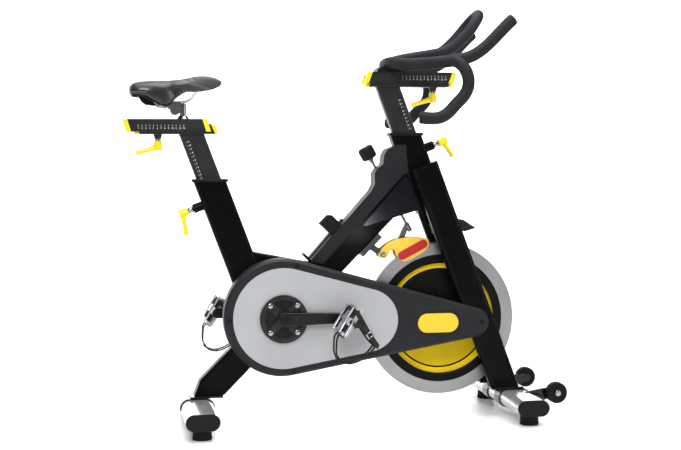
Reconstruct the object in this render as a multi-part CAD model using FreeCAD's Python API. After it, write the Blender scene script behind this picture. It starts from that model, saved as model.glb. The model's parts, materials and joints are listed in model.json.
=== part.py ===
"""Belt-driven spin bike with a friction flywheel, a seat and a handlebar that slide on posts.

X forward, +Y to the rider's left, Z up, millimetres. Origin: floor level, middle of the length.
"""
import FreeCAD
import Part
import math
import os

# ---- axes and stations -------------------------------------------------------------------
CRANK_X, CRANK_Z = -187.0, 301.0        # bottom bracket axis
FLY_X, FLY_Z = 282.0, 282.0             # flywheel axle
CRANK_LEN = 170.0
PEDAL_Y = 160.0                         # middle of each pedal

# ---- floor members -----------------------------------------------------------------------
STAB_W, STAB_H, STAB_Z = 92.0, 46.0, 51.0
STAB_HALF = 243.0                       # tube half length, caps add 4
STAB_X = {"rear": -426.0, "front": 488.0}
STAB_WALL = 2.5
CAP_T = 4.0
FOOT_Y, FOOT_R, FOOT_TOP = 204.0, 26.5, 27.5
STUD_R = 5.0
WHEEL_X, WHEEL_Z, WHEEL_R, WHEEL_Y, WHEEL_W = 593.0, 73.0, 30.0, 136.0, 24.0
WHEEL_PIN_R = 4.0

# ---- frame tubes -------------------------------------------------------------------------
WALL = 3.0
MAIN_D, MAIN_W, MAIN_LEAN = 80.0, 50.0, 44.9
SEAT_D, SEAT_W, SEAT_LEAN = 86.0, 50.0, -20.3
SEAT_X, SEAT_Z = -383.0, 686.0          # a point on the seat tube axis, at its collar
HEAD_D, HEAD_W, HEAD_LEAN = 86.0, 50.0, -20.0
HEAD_X, HEAD_Z = 180.0, 818.0           # a point on the head tube axis, at its collar
HEAD_LEN = 232.0
SEAT_TOP, HEAD_TOP = 684.0, 812.5        # level cuts that the collars sit on
COLLAR_L, COLLAR_W, COLLAR_T = 101.0, 57.0, 8.5
SEAT_CLAMP, HEAD_CLAMP = -57.0, -60.0   # clamp bosses, measured down the tube axes
BOSS_R, BOSS_REACH, STUD_REACH, LEVER_REACH = 13.0, 27.0, 60.0, 43.5
LEG_D, LEG_T, LEG_IN = 80.0, 36.0, 38.0
LEG_X, LEG_Z, LEG_LEAN = 382.0, 300.0, -20.3
FLANGE_Z0, FLANGE_Z1 = 77.5, 83.0
POST_D, POST_W, POST_WALL = 66.0, 34.0, 3.0
SEAT_IN_TUBE = 250.0                    # post length below the seat collar at rest
BAR_IN_TUBE = 165.0
FIT = 0.4                               # gap between a moving piece and its guide
RUN = 0.05                              # radial running fit

# ---- drive -------------------------------------------------------------------------------
FLY_R, FLY_HALF, RIM_IN = 221.0, 14.0, 160.0
WEB_HALF, HUB_R, AXLE_R = 4.5, 26.0, 8.0
PULLEY_BIG, PULLEY_SMALL = 105.0, 30.0
PULLEY_Y0, PULLEY_Y1 = -44.0, -32.0
SPINDLE_R = 12.0
ARM_Y0, ARM_Y1 = 90.0, 104.0
BELT_GAP, BELT_T = 0.4, 3.0

# ---- guard -------------------------------------------------------------------------------
GUARD_REAR = (-188.5, 304.0, 165.0)
GUARD_TIP = (368.0, 275.0, 42.0)
GUARD_FACE, GUARD_BACK, GUARD_WALL = -84.0, -28.0, 2.5
PANEL_REAR = (-187.0, 302.0, 141.7)
PANEL_FRONT = (50.0, 290.0, 90.0)
BADGE_X, BADGE_Z, BADGE_L, BADGE_H = 258.0, 277.0, 120.0, 56.0
GUARD_SCREWS = [(-148.0, 448.0), (-338.0, 300.0), (-160.0, 153.0), (387.5, 277.0)]

# ---- seat and bar slides -----------------------------------------------------------------
SLIDE_W, TONGUE_W, CHANNEL_UP = 25.0, 16.6, 21.5
SEAT_RAIL = (-586.0, -378.0, 818.0, 824.6, 11.0)
SEAT_SLIDE = (-622.5, -389.8, 825.0, 860.0, 11.0)
BAR_RAIL = (86.0, 318.0, 952.0, 961.6, -12.0)
BAR_SLIDE = (70.0, 331.0, 962.0, 994.0, -12.0)
SLIDE_CAP = 13.0
TILT_X, TILT_Z = -476.6, 885.0          # saddle tilt bolt
PILLAR_X = -454.0
GRIP_R = 17.0

# ---- brake -------------------------------------------------------------------------------
PIVOT = (110.0, 472.0)
LINK_PIN = (165.0, 507.0)
KNOB = (71.0, 763.0)
ROD_END = (197.0, 537.0)
ROD_R = 4.0
KNOB_R, KNOB_H = 22.5, 38.0
CHEEK_IN, CHEEK_OUT = 15.5, 28.0


# ---- shapes ------------------------------------------------------------------------------
def vec(x, y, z):
    return FreeCAD.Vector(x, y, z)


def box(x0, x1, y0, y1, z0, z1):
    return Part.makeBox(x1 - x0, y1 - y0, z1 - z0, vec(x0, y0, z0))


def rod(start, end, radius):
    direction = end.sub(start)
    return Part.makeCylinder(radius, direction.Length, start, direction)


def disc(x, z, radius, y0, y1):
    return Part.makeCylinder(radius, y1 - y0, vec(x, y0, z), vec(0, 1, 0))


def capsule(start, end, r_start, r_end):
    direction = end.sub(start)
    shape = Part.makeSphere(r_start, start).fuse(Part.makeSphere(r_end, end))
    return shape.fuse(Part.makeCone(r_start, r_end, direction.Length, start, direction))


def plate(points, y0, y1):
    ring = [vec(x, y0, z) for x, z in points]
    ring.append(ring[0])
    return Part.Face(Part.makePolygon(ring)).extrude(vec(0, y1 - y0, 0))


def smooth_plate(points, y0, y1):
    curve = Part.BSplineCurve()
    curve.interpolate([vec(x, y0, z) for x, z in points], PeriodicFlag=True)
    return Part.Face(Part.Wire([curve.toShape()])).extrude(vec(0, y1 - y0, 0))


def belt_plate(big, small, y0, y1, grow=0.0):
    """Prism around two circles and their outer tangents."""
    x1, z1, r1 = big[0], big[1], big[2] + grow
    x2, z2, r2 = small[0], small[1], small[2] + grow
    run = math.hypot(x2 - x1, z2 - z1)
    base = math.atan2(z2 - z1, x2 - x1)
    lean = math.asin((r1 - r2) / run)

    def at(cx, cz, radius, angle):
        return vec(cx + radius * math.cos(angle), y0, cz + radius * math.sin(angle))

    up = base + math.pi / 2 - lean
    down = base - math.pi / 2 + lean
    edges = [
        Part.LineSegment(at(x1, z1, r1, up), at(x2, z2, r2, up)).toShape(),
        Part.Arc(at(x2, z2, r2, up), at(x2, z2, r2, base), at(x2, z2, r2, down)).toShape(),
        Part.LineSegment(at(x2, z2, r2, down), at(x1, z1, r1, down)).toShape(),
        Part.Arc(at(x1, z1, r1, down), at(x1, z1, r1, base + math.pi), at(x1, z1, r1, up)).toShape(),
    ]
    return Part.Face(Part.Wire(edges)).extrude(vec(0, y1 - y0, 0))


def stadium(x, z, length, height, y0, y1):
    half = (length - height) / 2
    return belt_plate((x - half, z, height / 2), (x + half, z, height / 2), y0, y1)


def rounded_bar(depth, width, corner, low, high):
    """Upright bar about the Z axis with rounded long edges."""
    shape = Part.makeBox(depth, width, high - low, vec(-depth / 2, -width / 2, low))
    edges = [e for e in shape.Edges if abs(e.Vertexes[0].Z - e.Vertexes[1].Z) > 1]
    return shape.makeFillet(corner, edges)


def lean(shape, x, z, angle, y=0.0):
    """Turn about Y (positive leans the top forward), then move to (x, y, z)."""
    moved = shape.copy()
    moved.rotate(vec(0, 0, 0), vec(0, 1, 0), angle)
    moved.translate(vec(x, y, z))
    return moved


def on_axis(x, z, angle, along, across, y=0.0):
    """Point at a distance along a leaning axis and square to it (positive is forward)."""
    a = math.radians(angle)
    return vec(x + along * math.sin(a) + across * math.cos(a), y, z + along * math.cos(a) - across * math.sin(a))


def pipe(points, radius):
    curve = Part.BSplineCurve()
    curve.interpolate([vec(*p) for p in points])
    path = Part.Wire([curve.toShape()])
    start = curve.parameter(vec(*points[0]))
    tangent = curve.tangent(start)[0]
    ring = Part.Wire([Part.makeCircle(radius, vec(*points[0]), tangent)])
    return path.makePipeShell([ring], True, True)


def mirror_y(shape):
    return shape.mirror(vec(0, 0, 0), vec(0, 1, 0))


def both_sides(shape):
    return Part.makeCompound([shape, mirror_y(shape)])


# ---- floor members -----------------------------------------------------------------------
def stabilizer(x):
    tube = stadium(x, STAB_Z, STAB_W, STAB_H, -STAB_HALF, STAB_HALF)
    inner = stadium(x, STAB_Z, STAB_W - 2 * STAB_WALL, STAB_H - 2 * STAB_WALL, -STAB_HALF, STAB_HALF)
    tube = tube.cut(inner)
    for y in (-FOOT_Y, FOOT_Y):
        tube = tube.cut(Part.makeCylinder(STUD_R + FIT, 10, vec(x, y, STAB_Z - STAB_H / 2 - 3)))
    return tube


def end_caps():
    caps = []
    for x in STAB_X.values():
        outer = stadium(x, STAB_Z, STAB_W, STAB_H, STAB_HALF, STAB_HALF + CAP_T)
        rim = [e for e in outer.Edges if abs(e.CenterOfMass.y - STAB_HALF - CAP_T) < 0.01]
        outer = outer.makeFillet(2.5, rim)
        plug = stadium(x, STAB_Z, STAB_W - 6, STAB_H - 6, STAB_HALF - 16, STAB_HALF)
        hollow = stadium(x, STAB_Z, STAB_W - 11, STAB_H - 11, STAB_HALF - 16, STAB_HALF - 2)
        cap = outer.fuse(plug).cut(hollow)
        caps.append(cap)
        caps.append(mirror_y(cap))
    return Part.makeCompound(caps)


def foot(x, y):
    pad = Part.makeCylinder(FOOT_R, 8, vec(x, y, 0))
    pad = pad.makeChamfer(1.5, [e for e in pad.Edges if abs(e.BoundBox.ZMax) < 0.01])
    body = Part.makeCylinder(FOOT_R - 1, FOOT_TOP - 8, vec(x, y, 8))
    body = body.makeFillet(4, [e for e in body.Edges if abs(e.BoundBox.ZMin - FOOT_TOP) < 0.01])
    return pad.fuse(body).fuse(Part.makeCylinder(STUD_R, 34, vec(x, y, FOOT_TOP - 2)))


def transport_wheel(side):
    y0 = side * WHEEL_Y - WHEEL_W / 2
    tyre = disc(WHEEL_X, WHEEL_Z, WHEEL_R, y0, y0 + WHEEL_W)
    tyre = tyre.makeFillet(4, [e for e in tyre.Edges if abs(e.Length - 2 * math.pi * WHEEL_R) < 1])
    for y in (y0, y0 + WHEEL_W - 1.5):
        tyre = tyre.cut(disc(WHEEL_X, WHEEL_Z, 22, y, y + 1.5).cut(disc(WHEEL_X, WHEEL_Z, 12, y, y + 1.5)))
    return tyre.cut(disc(WHEEL_X, WHEEL_Z, WHEEL_PIN_R + RUN, y0, y0 + WHEEL_W))


# ---- frame -------------------------------------------------------------------------------
def main_bar(trim=0.0):
    return lean(rounded_bar(MAIN_D - trim, MAIN_W - trim, 9 - trim / 3, -370, 576), CRANK_X, CRANK_Z, MAIN_LEAN)


def flat_top(shape, z):
    """What is left of a leaning shape under a level cut."""
    return shape.cut(box(-700, 700, -100, 100, z, z + 150))


def seat_bar():
    return flat_top(lean(rounded_bar(SEAT_D, SEAT_W, 10, -452, 40), SEAT_X, SEAT_Z, SEAT_LEAN), SEAT_TOP)


def head_bar():
    return flat_top(lean(rounded_bar(HEAD_D, HEAD_W, 10, -HEAD_LEN, 40), HEAD_X, HEAD_Z, HEAD_LEAN), HEAD_TOP)


def leg_bar(depth=LEG_D, thick=LEG_T, corner=14.0):
    bar = rounded_bar(depth, thick, corner, -260, 455)
    return lean(bar, LEG_X, LEG_Z, LEG_LEAN, LEG_IN + LEG_T / 2)


def brake_rod_hole(radius):
    direction = vec(KNOB[0] - ROD_END[0], 0, KNOB[1] - ROD_END[1])
    return Part.makeCylinder(radius, 250, vec(ROD_END[0], 0, ROD_END[1]), direction)


def main_tube(head):
    heel = plate([(-417, 127), (-441, 66), (-700, 66), (-700, 127)], -60, 60)
    heel_inner = heel.copy()
    heel_inner.translate(vec(3.3, 0, 0))
    below = box(-700, 0, -60, 60, -50, FLANGE_Z1)
    outer = main_bar().cut(heel).cut(below).cut(head)
    inner = main_bar(2 * WALL).cut(heel_inner)
    shell = disc(CRANK_X, CRANK_Z, 24, -27, 60)
    tube = outer.cut(inner).fuse(shell)
    tube = tube.cut(disc(CRANK_X, CRANK_Z, SPINDLE_R + RUN, -28, 61))
    tube = tube.cut(disc(CRANK_X, CRANK_Z, 17, -12, 45))
    return tube.cut(brake_rod_hole(6))


def clamp_boss(x, z, angle, along, side, bore):
    """Boss on a tube's front or rear face with the threaded stud that a clamp lever turns on."""
    face = SEAT_D / 2
    start = on_axis(x, z, angle, along, side * (face - 1))
    end = on_axis(x, z, angle, along, side * (face + BOSS_REACH))
    tip = on_axis(x, z, angle, along, side * (face + STUD_REACH))
    return rod(start, end, BOSS_R).cut(bore).fuse(rod(end, tip, 5))


def seat_tube(main):
    bore = lean(rounded_bar(SEAT_D - 2 * WALL, SEAT_W - 2 * WALL, 7, -460, 30), SEAT_X, SEAT_Z, SEAT_LEAN)
    tube = seat_bar().cut(bore)
    return tube.fuse(clamp_boss(SEAT_X, SEAT_Z, SEAT_LEAN, SEAT_CLAMP, -1, bore)).cut(main)


def head_tube():
    bore = lean(rounded_bar(HEAD_D - 2 * WALL, HEAD_W - 2 * WALL, 7, -300, 30), HEAD_X, HEAD_Z, HEAD_LEAN)
    tube = head_bar().cut(bore)
    return tube.fuse(clamp_boss(HEAD_X, HEAD_Z, HEAD_LEAN, HEAD_CLAMP, 1, bore))


def strut_tube(main, seat):
    length = math.hypot(240, 48)
    angle = 90 + math.degrees(math.atan2(48, 240))
    bar = lean(rounded_bar(44, 44, 8, 0, length), -300, 471, angle)
    bore = lean(rounded_bar(38, 38, 6, -5, length + 5), -300, 471, angle)
    return bar.cut(bore).cut(main).cut(seat)


def collar(x, z, angle, top):
    """Level plate on a cut tube, with the sleeve that guides the post inside it."""
    mid = x + (top - z) * math.tan(math.radians(angle))
    ring = rounded_bar(COLLAR_L, COLLAR_W, 12, 0, COLLAR_T)
    ring = ring.makeFillet(2.5, [e for e in ring.Edges if abs(e.BoundBox.ZMin - COLLAR_T) < 0.01])
    ring.translate(vec(mid, 0, top))
    sleeve = lean(rounded_bar(SEAT_D - 2 * WALL, SEAT_W - 2 * WALL, 7, -60, 40), x, z, angle)
    hole = lean(rounded_bar(POST_D + 2 * FIT, POST_W + 2 * FIT, 8.3, -90, 60), x, z, angle)
    return ring.fuse(flat_top(sleeve, top)).cut(hole)


def collars():
    seat = collar(SEAT_X, SEAT_Z, SEAT_LEAN, SEAT_TOP)
    head = collar(HEAD_X, HEAD_Z, HEAD_LEAN, HEAD_TOP)
    return Part.makeCompound([seat, head])


def crown_block():
    block = rounded_bar(70, 13, 5, 345, 445)
    return lean(block, LEG_X, LEG_Z, LEG_LEAN, LEG_IN - 6.5)


def fork_legs(gusset):
    leg = leg_bar().cut(leg_bar(LEG_D - 2 * WALL, LEG_T - 2 * WALL, 11).cut(box(-100, 900, -200, 200, 700, 900)))
    low = on_axis(LEG_X, LEG_Z, LEG_LEAN, 385, -2)
    high = on_axis(LEG_X, LEG_Z, LEG_LEAN, 418, -2)
    out = LEG_IN + LEG_T
    pad = belt_plate((low.x, low.z, 33), (high.x, high.z, 33), out - 1, out + 2)
    foot_end = on_axis(LEG_X, LEG_Z, LEG_LEAN, 70, 0)
    arch = on_axis(LEG_X, LEG_Z, LEG_LEAN, 256, 0)
    leg = leg.cut(belt_plate((foot_end.x, foot_end.z, 30), (arch.x, arch.z, 30), out - 1.5, out + 1))
    leg = leg.fuse(pad).fuse(crown_block().cut(gusset))
    leg = leg.cut(box(200, 700, 0, 200, -50, FLANGE_Z1))
    return both_sides(leg)


def gussets(cover):
    tri = plate([(174, 694), (52, 557), (60, 554), (222, 600), (221, 606), (180, 694)], 25, 28)
    return tri.cut(cover)


def saddle_clamp(x, y0, y1, open_side):
    """Steel strap bent over a stabilizer, with the flange the tubes stand on."""
    strap = stadium(x, STAB_Z, STAB_W + 7, STAB_H + 7, y0, y1)
    strap = strap.cut(stadium(x, STAB_Z, STAB_W, STAB_H, y0, y1))
    edge = x + open_side * (STAB_W / 2 - 30)
    away = x + open_side * 80
    strap = strap.cut(box(min(edge, away), max(edge, away), y0, y1, 0, STAB_Z - 5))
    mid = x - open_side * 8
    strap = strap.cut(box(min(mid, away), max(mid, away), y0, y1, 0, STAB_Z - 10))
    return strap


def axle_plate(leg):
    shape = plate([(276, 306), (335, 330), (368, 300), (368, 238), (276, 258)], 52, 60)
    shape = shape.fuse(disc(FLY_X, FLY_Z, 26, 52, 60))
    return shape.cut(leg).cut(disc(FLY_X, FLY_Z, AXLE_R, 50, 62))


def wheel_arm(side):
    """Arm on the inboard side of a transport wheel, its foot, and the wheel's bolt."""
    inner = WHEEL_Y - WHEEL_W / 2 - 0.5
    outer = WHEEL_Y + WHEEL_W / 2 + 0.4
    outline = [(505, 76), (556, 84), (582, 86), (600, 83), (606, 73), (600, 63), (586, 59), (552, 46), (520, 32)]
    arm = plate(outline, inner - 5, inner)
    arm = arm.fuse(plate([(510, 74), (548, 66), (548, 56), (510, 44)], inner - 1, WHEEL_Y + 10))
    arm = arm.cut(stadium(STAB_X["front"], STAB_Z, STAB_W, STAB_H, 100, 170))
    arm = arm.fuse(disc(WHEEL_X, WHEEL_Z, WHEEL_PIN_R, inner - 1, outer))
    arm = arm.fuse(disc(WHEEL_X, WHEEL_Z, 8, outer, outer + 3)).fuse(disc(WHEEL_X, WHEEL_Z, 8, inner - 8, inner - 5))
    return arm if side > 0 else mirror_y(arm)


def frame_plates(gusset, leg):
    pieces = [gusset, mirror_y(gusset)]
    axle = axle_plate(leg)
    pieces += [axle, mirror_y(axle)]
    rear = saddle_clamp(STAB_X["rear"], -38, 38, -1).fuse(box(-446, -354, -38, 38, FLANGE_Z0, FLANGE_Z1))
    rear = rear.cut(stadium(STAB_X["rear"], STAB_Z, STAB_W, STAB_H, -50, 50))
    pieces.append(rear)
    front = saddle_clamp(STAB_X["front"], 34, 80, 1).fuse(box(418, 514, 34, 80, FLANGE_Z0, FLANGE_Z1))
    front = front.cut(stadium(STAB_X["front"], STAB_Z, STAB_W, STAB_H, 0, 100))
    pieces += [front, mirror_y(front)]
    pieces += [wheel_arm(1), wheel_arm(-1)]
    return Part.makeCompound(pieces)


# ---- guard -------------------------------------------------------------------------------
def leg_clearance():
    """Everything forward of the leg's rear face and inboard of its outer face."""
    block = lean(box(-LEG_D / 2 - 0.6, 200, -(LEG_IN + LEG_T + 0.3), 0, -200, 200), LEG_X, LEG_Z, LEG_LEAN)
    return block


def guard_outer():
    shell = belt_plate(GUARD_REAR, GUARD_TIP, GUARD_FACE, GUARD_BACK)
    rim = [e for e in shell.Edges if abs(e.CenterOfMass.y - GUARD_FACE) < 0.01]
    shell = shell.makeChamfer(7, rim)
    hollow = belt_plate(GUARD_REAR, GUARD_TIP, GUARD_FACE + 7.5, GUARD_BACK, -GUARD_WALL)
    hollow = hollow.fuse(belt_plate(GUARD_REAR, GUARD_TIP, GUARD_FACE + 4.5, GUARD_FACE + 8, -8))
    shell = shell.cut(hollow)
    shell = shell.cut(belt_plate(PANEL_REAR, PANEL_FRONT, GUARD_FACE, GUARD_FACE + 1.8))
    bezel = stadium(BADGE_X + 2, BADGE_Z + 1, BADGE_L + 26, BADGE_H + 32, GUARD_FACE - 1.8, GUARD_FACE + 1)
    bezel = bezel.makeChamfer(1.7, [e for e in bezel.Edges if abs(e.CenterOfMass.y - GUARD_FACE + 1.8) < 0.01])
    shell = shell.fuse(bezel)
    shell = shell.cut(stadium(BADGE_X, BADGE_Z, BADGE_L + 10, BADGE_H + 12, GUARD_FACE - 2, GUARD_FACE + 0.5))
    shell = shell.cut(stadium(BADGE_X, BADGE_Z, BADGE_L, BADGE_H, GUARD_FACE, GUARD_FACE + 2.0))
    shell = shell.cut(disc(CRANK_X, CRANK_Z, 20, GUARD_FACE - 1, -60))
    x, z = GUARD_SCREWS[3]
    boss = disc(x, z, 7, GUARD_FACE + 2, -(LEG_IN + LEG_T))
    shell = shell.cut(leg_clearance()).fuse(boss)
    for x, z in GUARD_SCREWS:
        shell = shell.cut(disc(x, z, 7.5, GUARD_FACE - 1, GUARD_FACE + 1.5))
        shell = shell.cut(disc(x, z, 3.0, GUARD_FACE, GUARD_FACE + 6.0))
    return shell


def guard_inner():
    wall = belt_plate(GUARD_REAR, GUARD_TIP, GUARD_BACK - 2, GUARD_BACK, -GUARD_WALL)
    wall = wall.cut(disc(CRANK_X, CRANK_Z, 25, -31, -27)).cut(disc(FLY_X, FLY_Z, 24, -31, -27))
    for along in (-95, 70, 150):
        p = on_axis(CRANK_X, CRANK_Z, MAIN_LEAN, along, 0)
        wall = wall.fuse(disc(p.x, p.z, 9, GUARD_BACK - 0.5, -MAIN_W / 2))
    return wall.cut(leg_clearance())


def guard_panel():
    sheet = belt_plate(PANEL_REAR, PANEL_FRONT, GUARD_FACE - 0.6, GUARD_FACE + 1.8, -0.3)
    return sheet.cut(disc(CRANK_X, CRANK_Z, 20, GUARD_FACE - 2, -60))


def guard_badge():
    badge = stadium(BADGE_X, BADGE_Z, BADGE_L - 0.6, BADGE_H - 0.6, GUARD_FACE - 1.2, GUARD_FACE + 2.0)
    return badge.makeFillet(1.5, [e for e in badge.Edges if abs(e.CenterOfMass.y - GUARD_FACE + 1.2) < 0.01])


def tube_cover(main, head):
    """Plastic cowl over the top of the main tube, up to the head tube."""
    outline = [(-98, 459), (77, 655), (87, 675), (86, 705), (94, 718), (111.5, 731), (115, 758)]
    outline += [(125, 774), (156, 786), (178, 786), (186, 705), (172, 701), (-66, 447)]
    inside = [(-84, 468), (79, 649), (90.5, 674), (89.5, 703), (97, 715), (115, 729), (118.5, 756)]
    inside += [(128, 771), (157, 782), (186, 782), (186, 705), (178, 705), (-50, 468)]
    cowl = plate(outline, -28.5, 28.5).cut(plate(inside, -25.2, 25.2))
    return cowl.cut(main).cut(head).cut(brake_rod_hole(6))


def bottle_cage(cover, strut):
    """Bracket strip on the cowl with a bottle cradle and a stop lip at its lower end."""
    a = math.radians(MAIN_LEAN)
    d = (math.sin(a), math.cos(a))
    n = (-math.cos(a), math.sin(a))
    base = (-98.0, 459.0)

    def at(s, h):
        return (base[0] + s * d[0] + h * n[0], base[1] + s * d[1] + h * n[1])

    strip = plate([at(-6, 4), at(148, 12), at(148, 18), at(-6, 9)], -14, 14)
    lip = plate([at(-6, -6), at(1, -5), at(1, 30), at(-6, 27)], -19, 19)
    cradle = plate([at(92, 5), at(92, 52), at(100, 57), at(124, 55), at(134, 46), at(134, 8)], -20, 20)
    centre = at(113, 84)
    groove = Part.makeCylinder(37, 90, vec(at(70, 84)[0], 0, at(70, 84)[1]), vec(d[0], 0, d[1]))
    centre_hole = disc(centre[0], centre[1] - 30, 4, -30, 30)
    return strip.fuse(lip).fuse(cradle).cut(groove).cut(centre_hole).cut(cover).cut(strut)


def sweat_guard():
    """Short splash nose between the fork legs, ahead of the flywheel."""
    nose = plate([(334, 540), (355, 534), (388, 543.6), (351, 568), (322, 574), (318, 560)], -24, 24)
    beam = lean(box(-26, 26, -LEG_IN, LEG_IN, 250, 282), LEG_X, LEG_Z, LEG_LEAN)
    return beam.fuse(nose)


def brake_bracket(main):
    """Pad under the main tube, with the link and the pin that the brake arm swings on."""
    pad = plate([(41.8, 476.8), (52.4, 466.2), (107.4, 521.4), (96.8, 532.0)], -30, 30).cut(main)
    pad = pad.makeChamfer(1.5, [e for e in pad.Edges if e.Length > 70])
    link = belt_plate((80, 494, 9), (PIVOT[0], PIVOT[1], 8), -CHEEK_IN + 0.4, CHEEK_IN - 0.4).cut(main)
    shape = pad.fuse(link).fuse(disc(PIVOT[0], PIVOT[1], 5, -31, 31))
    head = disc(PIVOT[0], PIVOT[1], 7.5, CHEEK_OUT + 0.4, 31).cut(disc(PIVOT[0], PIVOT[1], 3, 30, 32))
    return shape.fuse(head).fuse(mirror_y(head))


def axle_and_bolts():
    """Flywheel axle with its spacers and nuts, and the guard screws."""
    axle = disc(FLY_X, FLY_Z, AXLE_R, -72, 72)
    axle = axle.fuse(disc(FLY_X, FLY_Z, 13, -52, -44.6)).fuse(disc(FLY_X, FLY_Z, 13, 30.6, 52))
    for y in (-60 - 8, 60):
        nut = Part.Face(Part.makePolygon([
            vec(FLY_X + 13.5 * math.cos(math.radians(60 * k)), y, FLY_Z + 13.5 * math.sin(math.radians(60 * k)))
            for k in range(7)])).extrude(vec(0, 8, 0))
        axle = axle.fuse(nut)
    pieces = [axle]
    for x, z in GUARD_SCREWS:
        head = disc(x, z, 7, GUARD_FACE - 0.5, GUARD_FACE + 1.5).cut(disc(x, z, 2.6, GUARD_FACE - 1, GUARD_FACE))
        pieces.append(head.fuse(disc(x, z, 2.9, GUARD_FACE + 1.5, GUARD_FACE + 6)))
    return Part.makeCompound(pieces)


def drive_belt():
    big = (CRANK_X, CRANK_Z, PULLEY_BIG + BELT_GAP)
    small = (FLY_X, FLY_Z, PULLEY_SMALL + BELT_GAP)
    return belt_plate(big, small, -43, -33, BELT_T).cut(belt_plate(big, small, -43, -33))


# ---- flywheel and crank ------------------------------------------------------------------
def flywheel():
    rim = disc(FLY_X, FLY_Z, FLY_R, -FLY_HALF, FLY_HALF)
    rim = rim.makeChamfer(2, [e for e in rim.Edges if abs(e.Length - 2 * math.pi * FLY_R) < 1])
    for y0, y1 in ((-FLY_HALF - 1, -WEB_HALF), (WEB_HALF, FLY_HALF + 1)):
        rim = rim.cut(disc(FLY_X, FLY_Z, RIM_IN, y0, y1))
    for y0, y1 in ((-FLY_HALF - 1, -FLY_HALF + 1), (FLY_HALF - 1, FLY_HALF + 1)):
        groove = disc(FLY_X, FLY_Z, 186, y0, y1).cut(disc(FLY_X, FLY_Z, 184, y0, y1))
        rim = rim.cut(groove)
    wheel = rim.fuse(disc(FLY_X, FLY_Z, HUB_R, -20, 30))
    return wheel.cut(disc(FLY_X, FLY_Z, AXLE_R + RUN, -21, 31))


def toothed_pulley(x, z, radius, bore):
    wheel = disc(x, z, radius, PULLEY_Y0, PULLEY_Y1)
    for k in range(4):
        y = PULLEY_Y0 + 2.2 + 2.2 * k
        wheel = wheel.cut(disc(x, z, radius + 1, y, y + 1).cut(disc(x, z, radius - 1.4, y, y + 1)))
    return wheel.cut(disc(x, z, bore, PULLEY_Y0 - 1, PULLEY_Y1 + 1))


def flywheel_pulley():
    pulley = toothed_pulley(FLY_X, FLY_Z, PULLEY_SMALL, AXLE_R + RUN)
    hub = disc(FLY_X, FLY_Z, 20, PULLEY_Y1, -20).cut(disc(FLY_X, FLY_Z, AXLE_R + RUN, PULLEY_Y1, -20))
    return pulley.fuse(hub)


def drive_pulley():
    wheel = toothed_pulley(CRANK_X, CRANK_Z, PULLEY_BIG, SPINDLE_R)
    for k in range(5):
        a = math.radians(36 + 72 * k)
        wheel = wheel.cut(disc(CRANK_X + 62 * math.cos(a), CRANK_Z + 62 * math.sin(a), 23, -50, -30))
    hub = disc(CRANK_X, CRANK_Z, 19, -50, PULLEY_Y0).cut(disc(CRANK_X, CRANK_Z, SPINDLE_R, -50, PULLEY_Y0))
    return wheel.fuse(hub)


def crank_spindle():
    """Spindle, its two end bolts and the four spider bolts."""
    spindle = disc(CRANK_X, CRANK_Z, SPINDLE_R, -ARM_Y0, ARM_Y0)
    for side in (-1, 1):
        y0, y1 = sorted((side * ARM_Y0, side * (ARM_Y1 + 1)))
        spindle = spindle.fuse(disc(CRANK_X, CRANK_Z, 8, y0, y1))
        y0, y1 = sorted((side * ARM_Y1, side * (ARM_Y1 + 3)))
        spindle = spindle.fuse(disc(CRANK_X, CRANK_Z, 10, y0, y1))
    bolts = []
    for dx in (-37, 37):
        for dz in (-37, 37):
            bolt = disc(CRANK_X + dx, CRANK_Z + dz, 6, -93, -90)
            bolts.append(bolt.cut(disc(CRANK_X + dx, CRANK_Z + dz, 2.8, -93.5, -91)))
    return Part.makeCompound([spindle] + bolts)


def crank_spider():
    """Disc behind the right crank arm with a four-arm spider left standing."""
    ring = disc(CRANK_X, CRANK_Z, 67.5, -90, -85.6)
    pocket = disc(CRANK_X, CRANK_Z, 55, -90, -86.8)
    cross = box(-90, 90, -91, -85, -10, 10).fuse(box(-10, 10, -91, -85, -90, 90)).fuse(disc(0, 0, 24, -91, -85))
    for dx, dz in ((52.3, 0), (-52.3, 0), (0, 52.3), (0, -52.3)):
        cross = cross.fuse(disc(dx, dz, 11, -91, -85))
    cross = lean(cross, CRANK_X, CRANK_Z, 45)
    return ring.cut(pocket.cut(cross)).cut(disc(CRANK_X, CRANK_Z, SPINDLE_R, -91, -85))


def crank_arm(side):
    """Right arm points forward, left arm backward; each carries its pedal spindle."""
    tip_x = CRANK_X + CRANK_LEN
    arm = belt_plate((CRANK_X, CRANK_Z, 19), (tip_x, CRANK_Z, 14), ARM_Y0, ARM_Y1)
    arm = arm.makeFillet(3.5, [e for e in arm.Edges if abs(e.CenterOfMass.y - ARM_Y1) < 0.01])
    arm = arm.cut(disc(CRANK_X, CRANK_Z, 8, ARM_Y0 - 1, ARM_Y1 + 1))
    arm = arm.fuse(disc(tip_x, CRANK_Z, 7, ARM_Y0 - 1, PEDAL_Y + 40))
    arm = arm.fuse(disc(tip_x, CRANK_Z, 10, ARM_Y1 - 1, ARM_Y1 + 6))
    if side < 0:
        return mirror_y(arm)
    return arm.mirror(vec(CRANK_X, 0, 0), vec(1, 0, 0))


# ---- pedals ------------------------------------------------------------------------------
def hang_pedal(shape, side):
    """Turn a level pedal (toe towards -X, tread up) so it hangs toe down and upside down."""
    hung = shape.copy()
    hung.rotate(vec(0, 0, 0), vec(1, 0, 0), 180)
    hung = lean(hung, CRANK_X - side * CRANK_LEN, CRANK_Z, -58, side * PEDAL_Y)
    return hung


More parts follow.
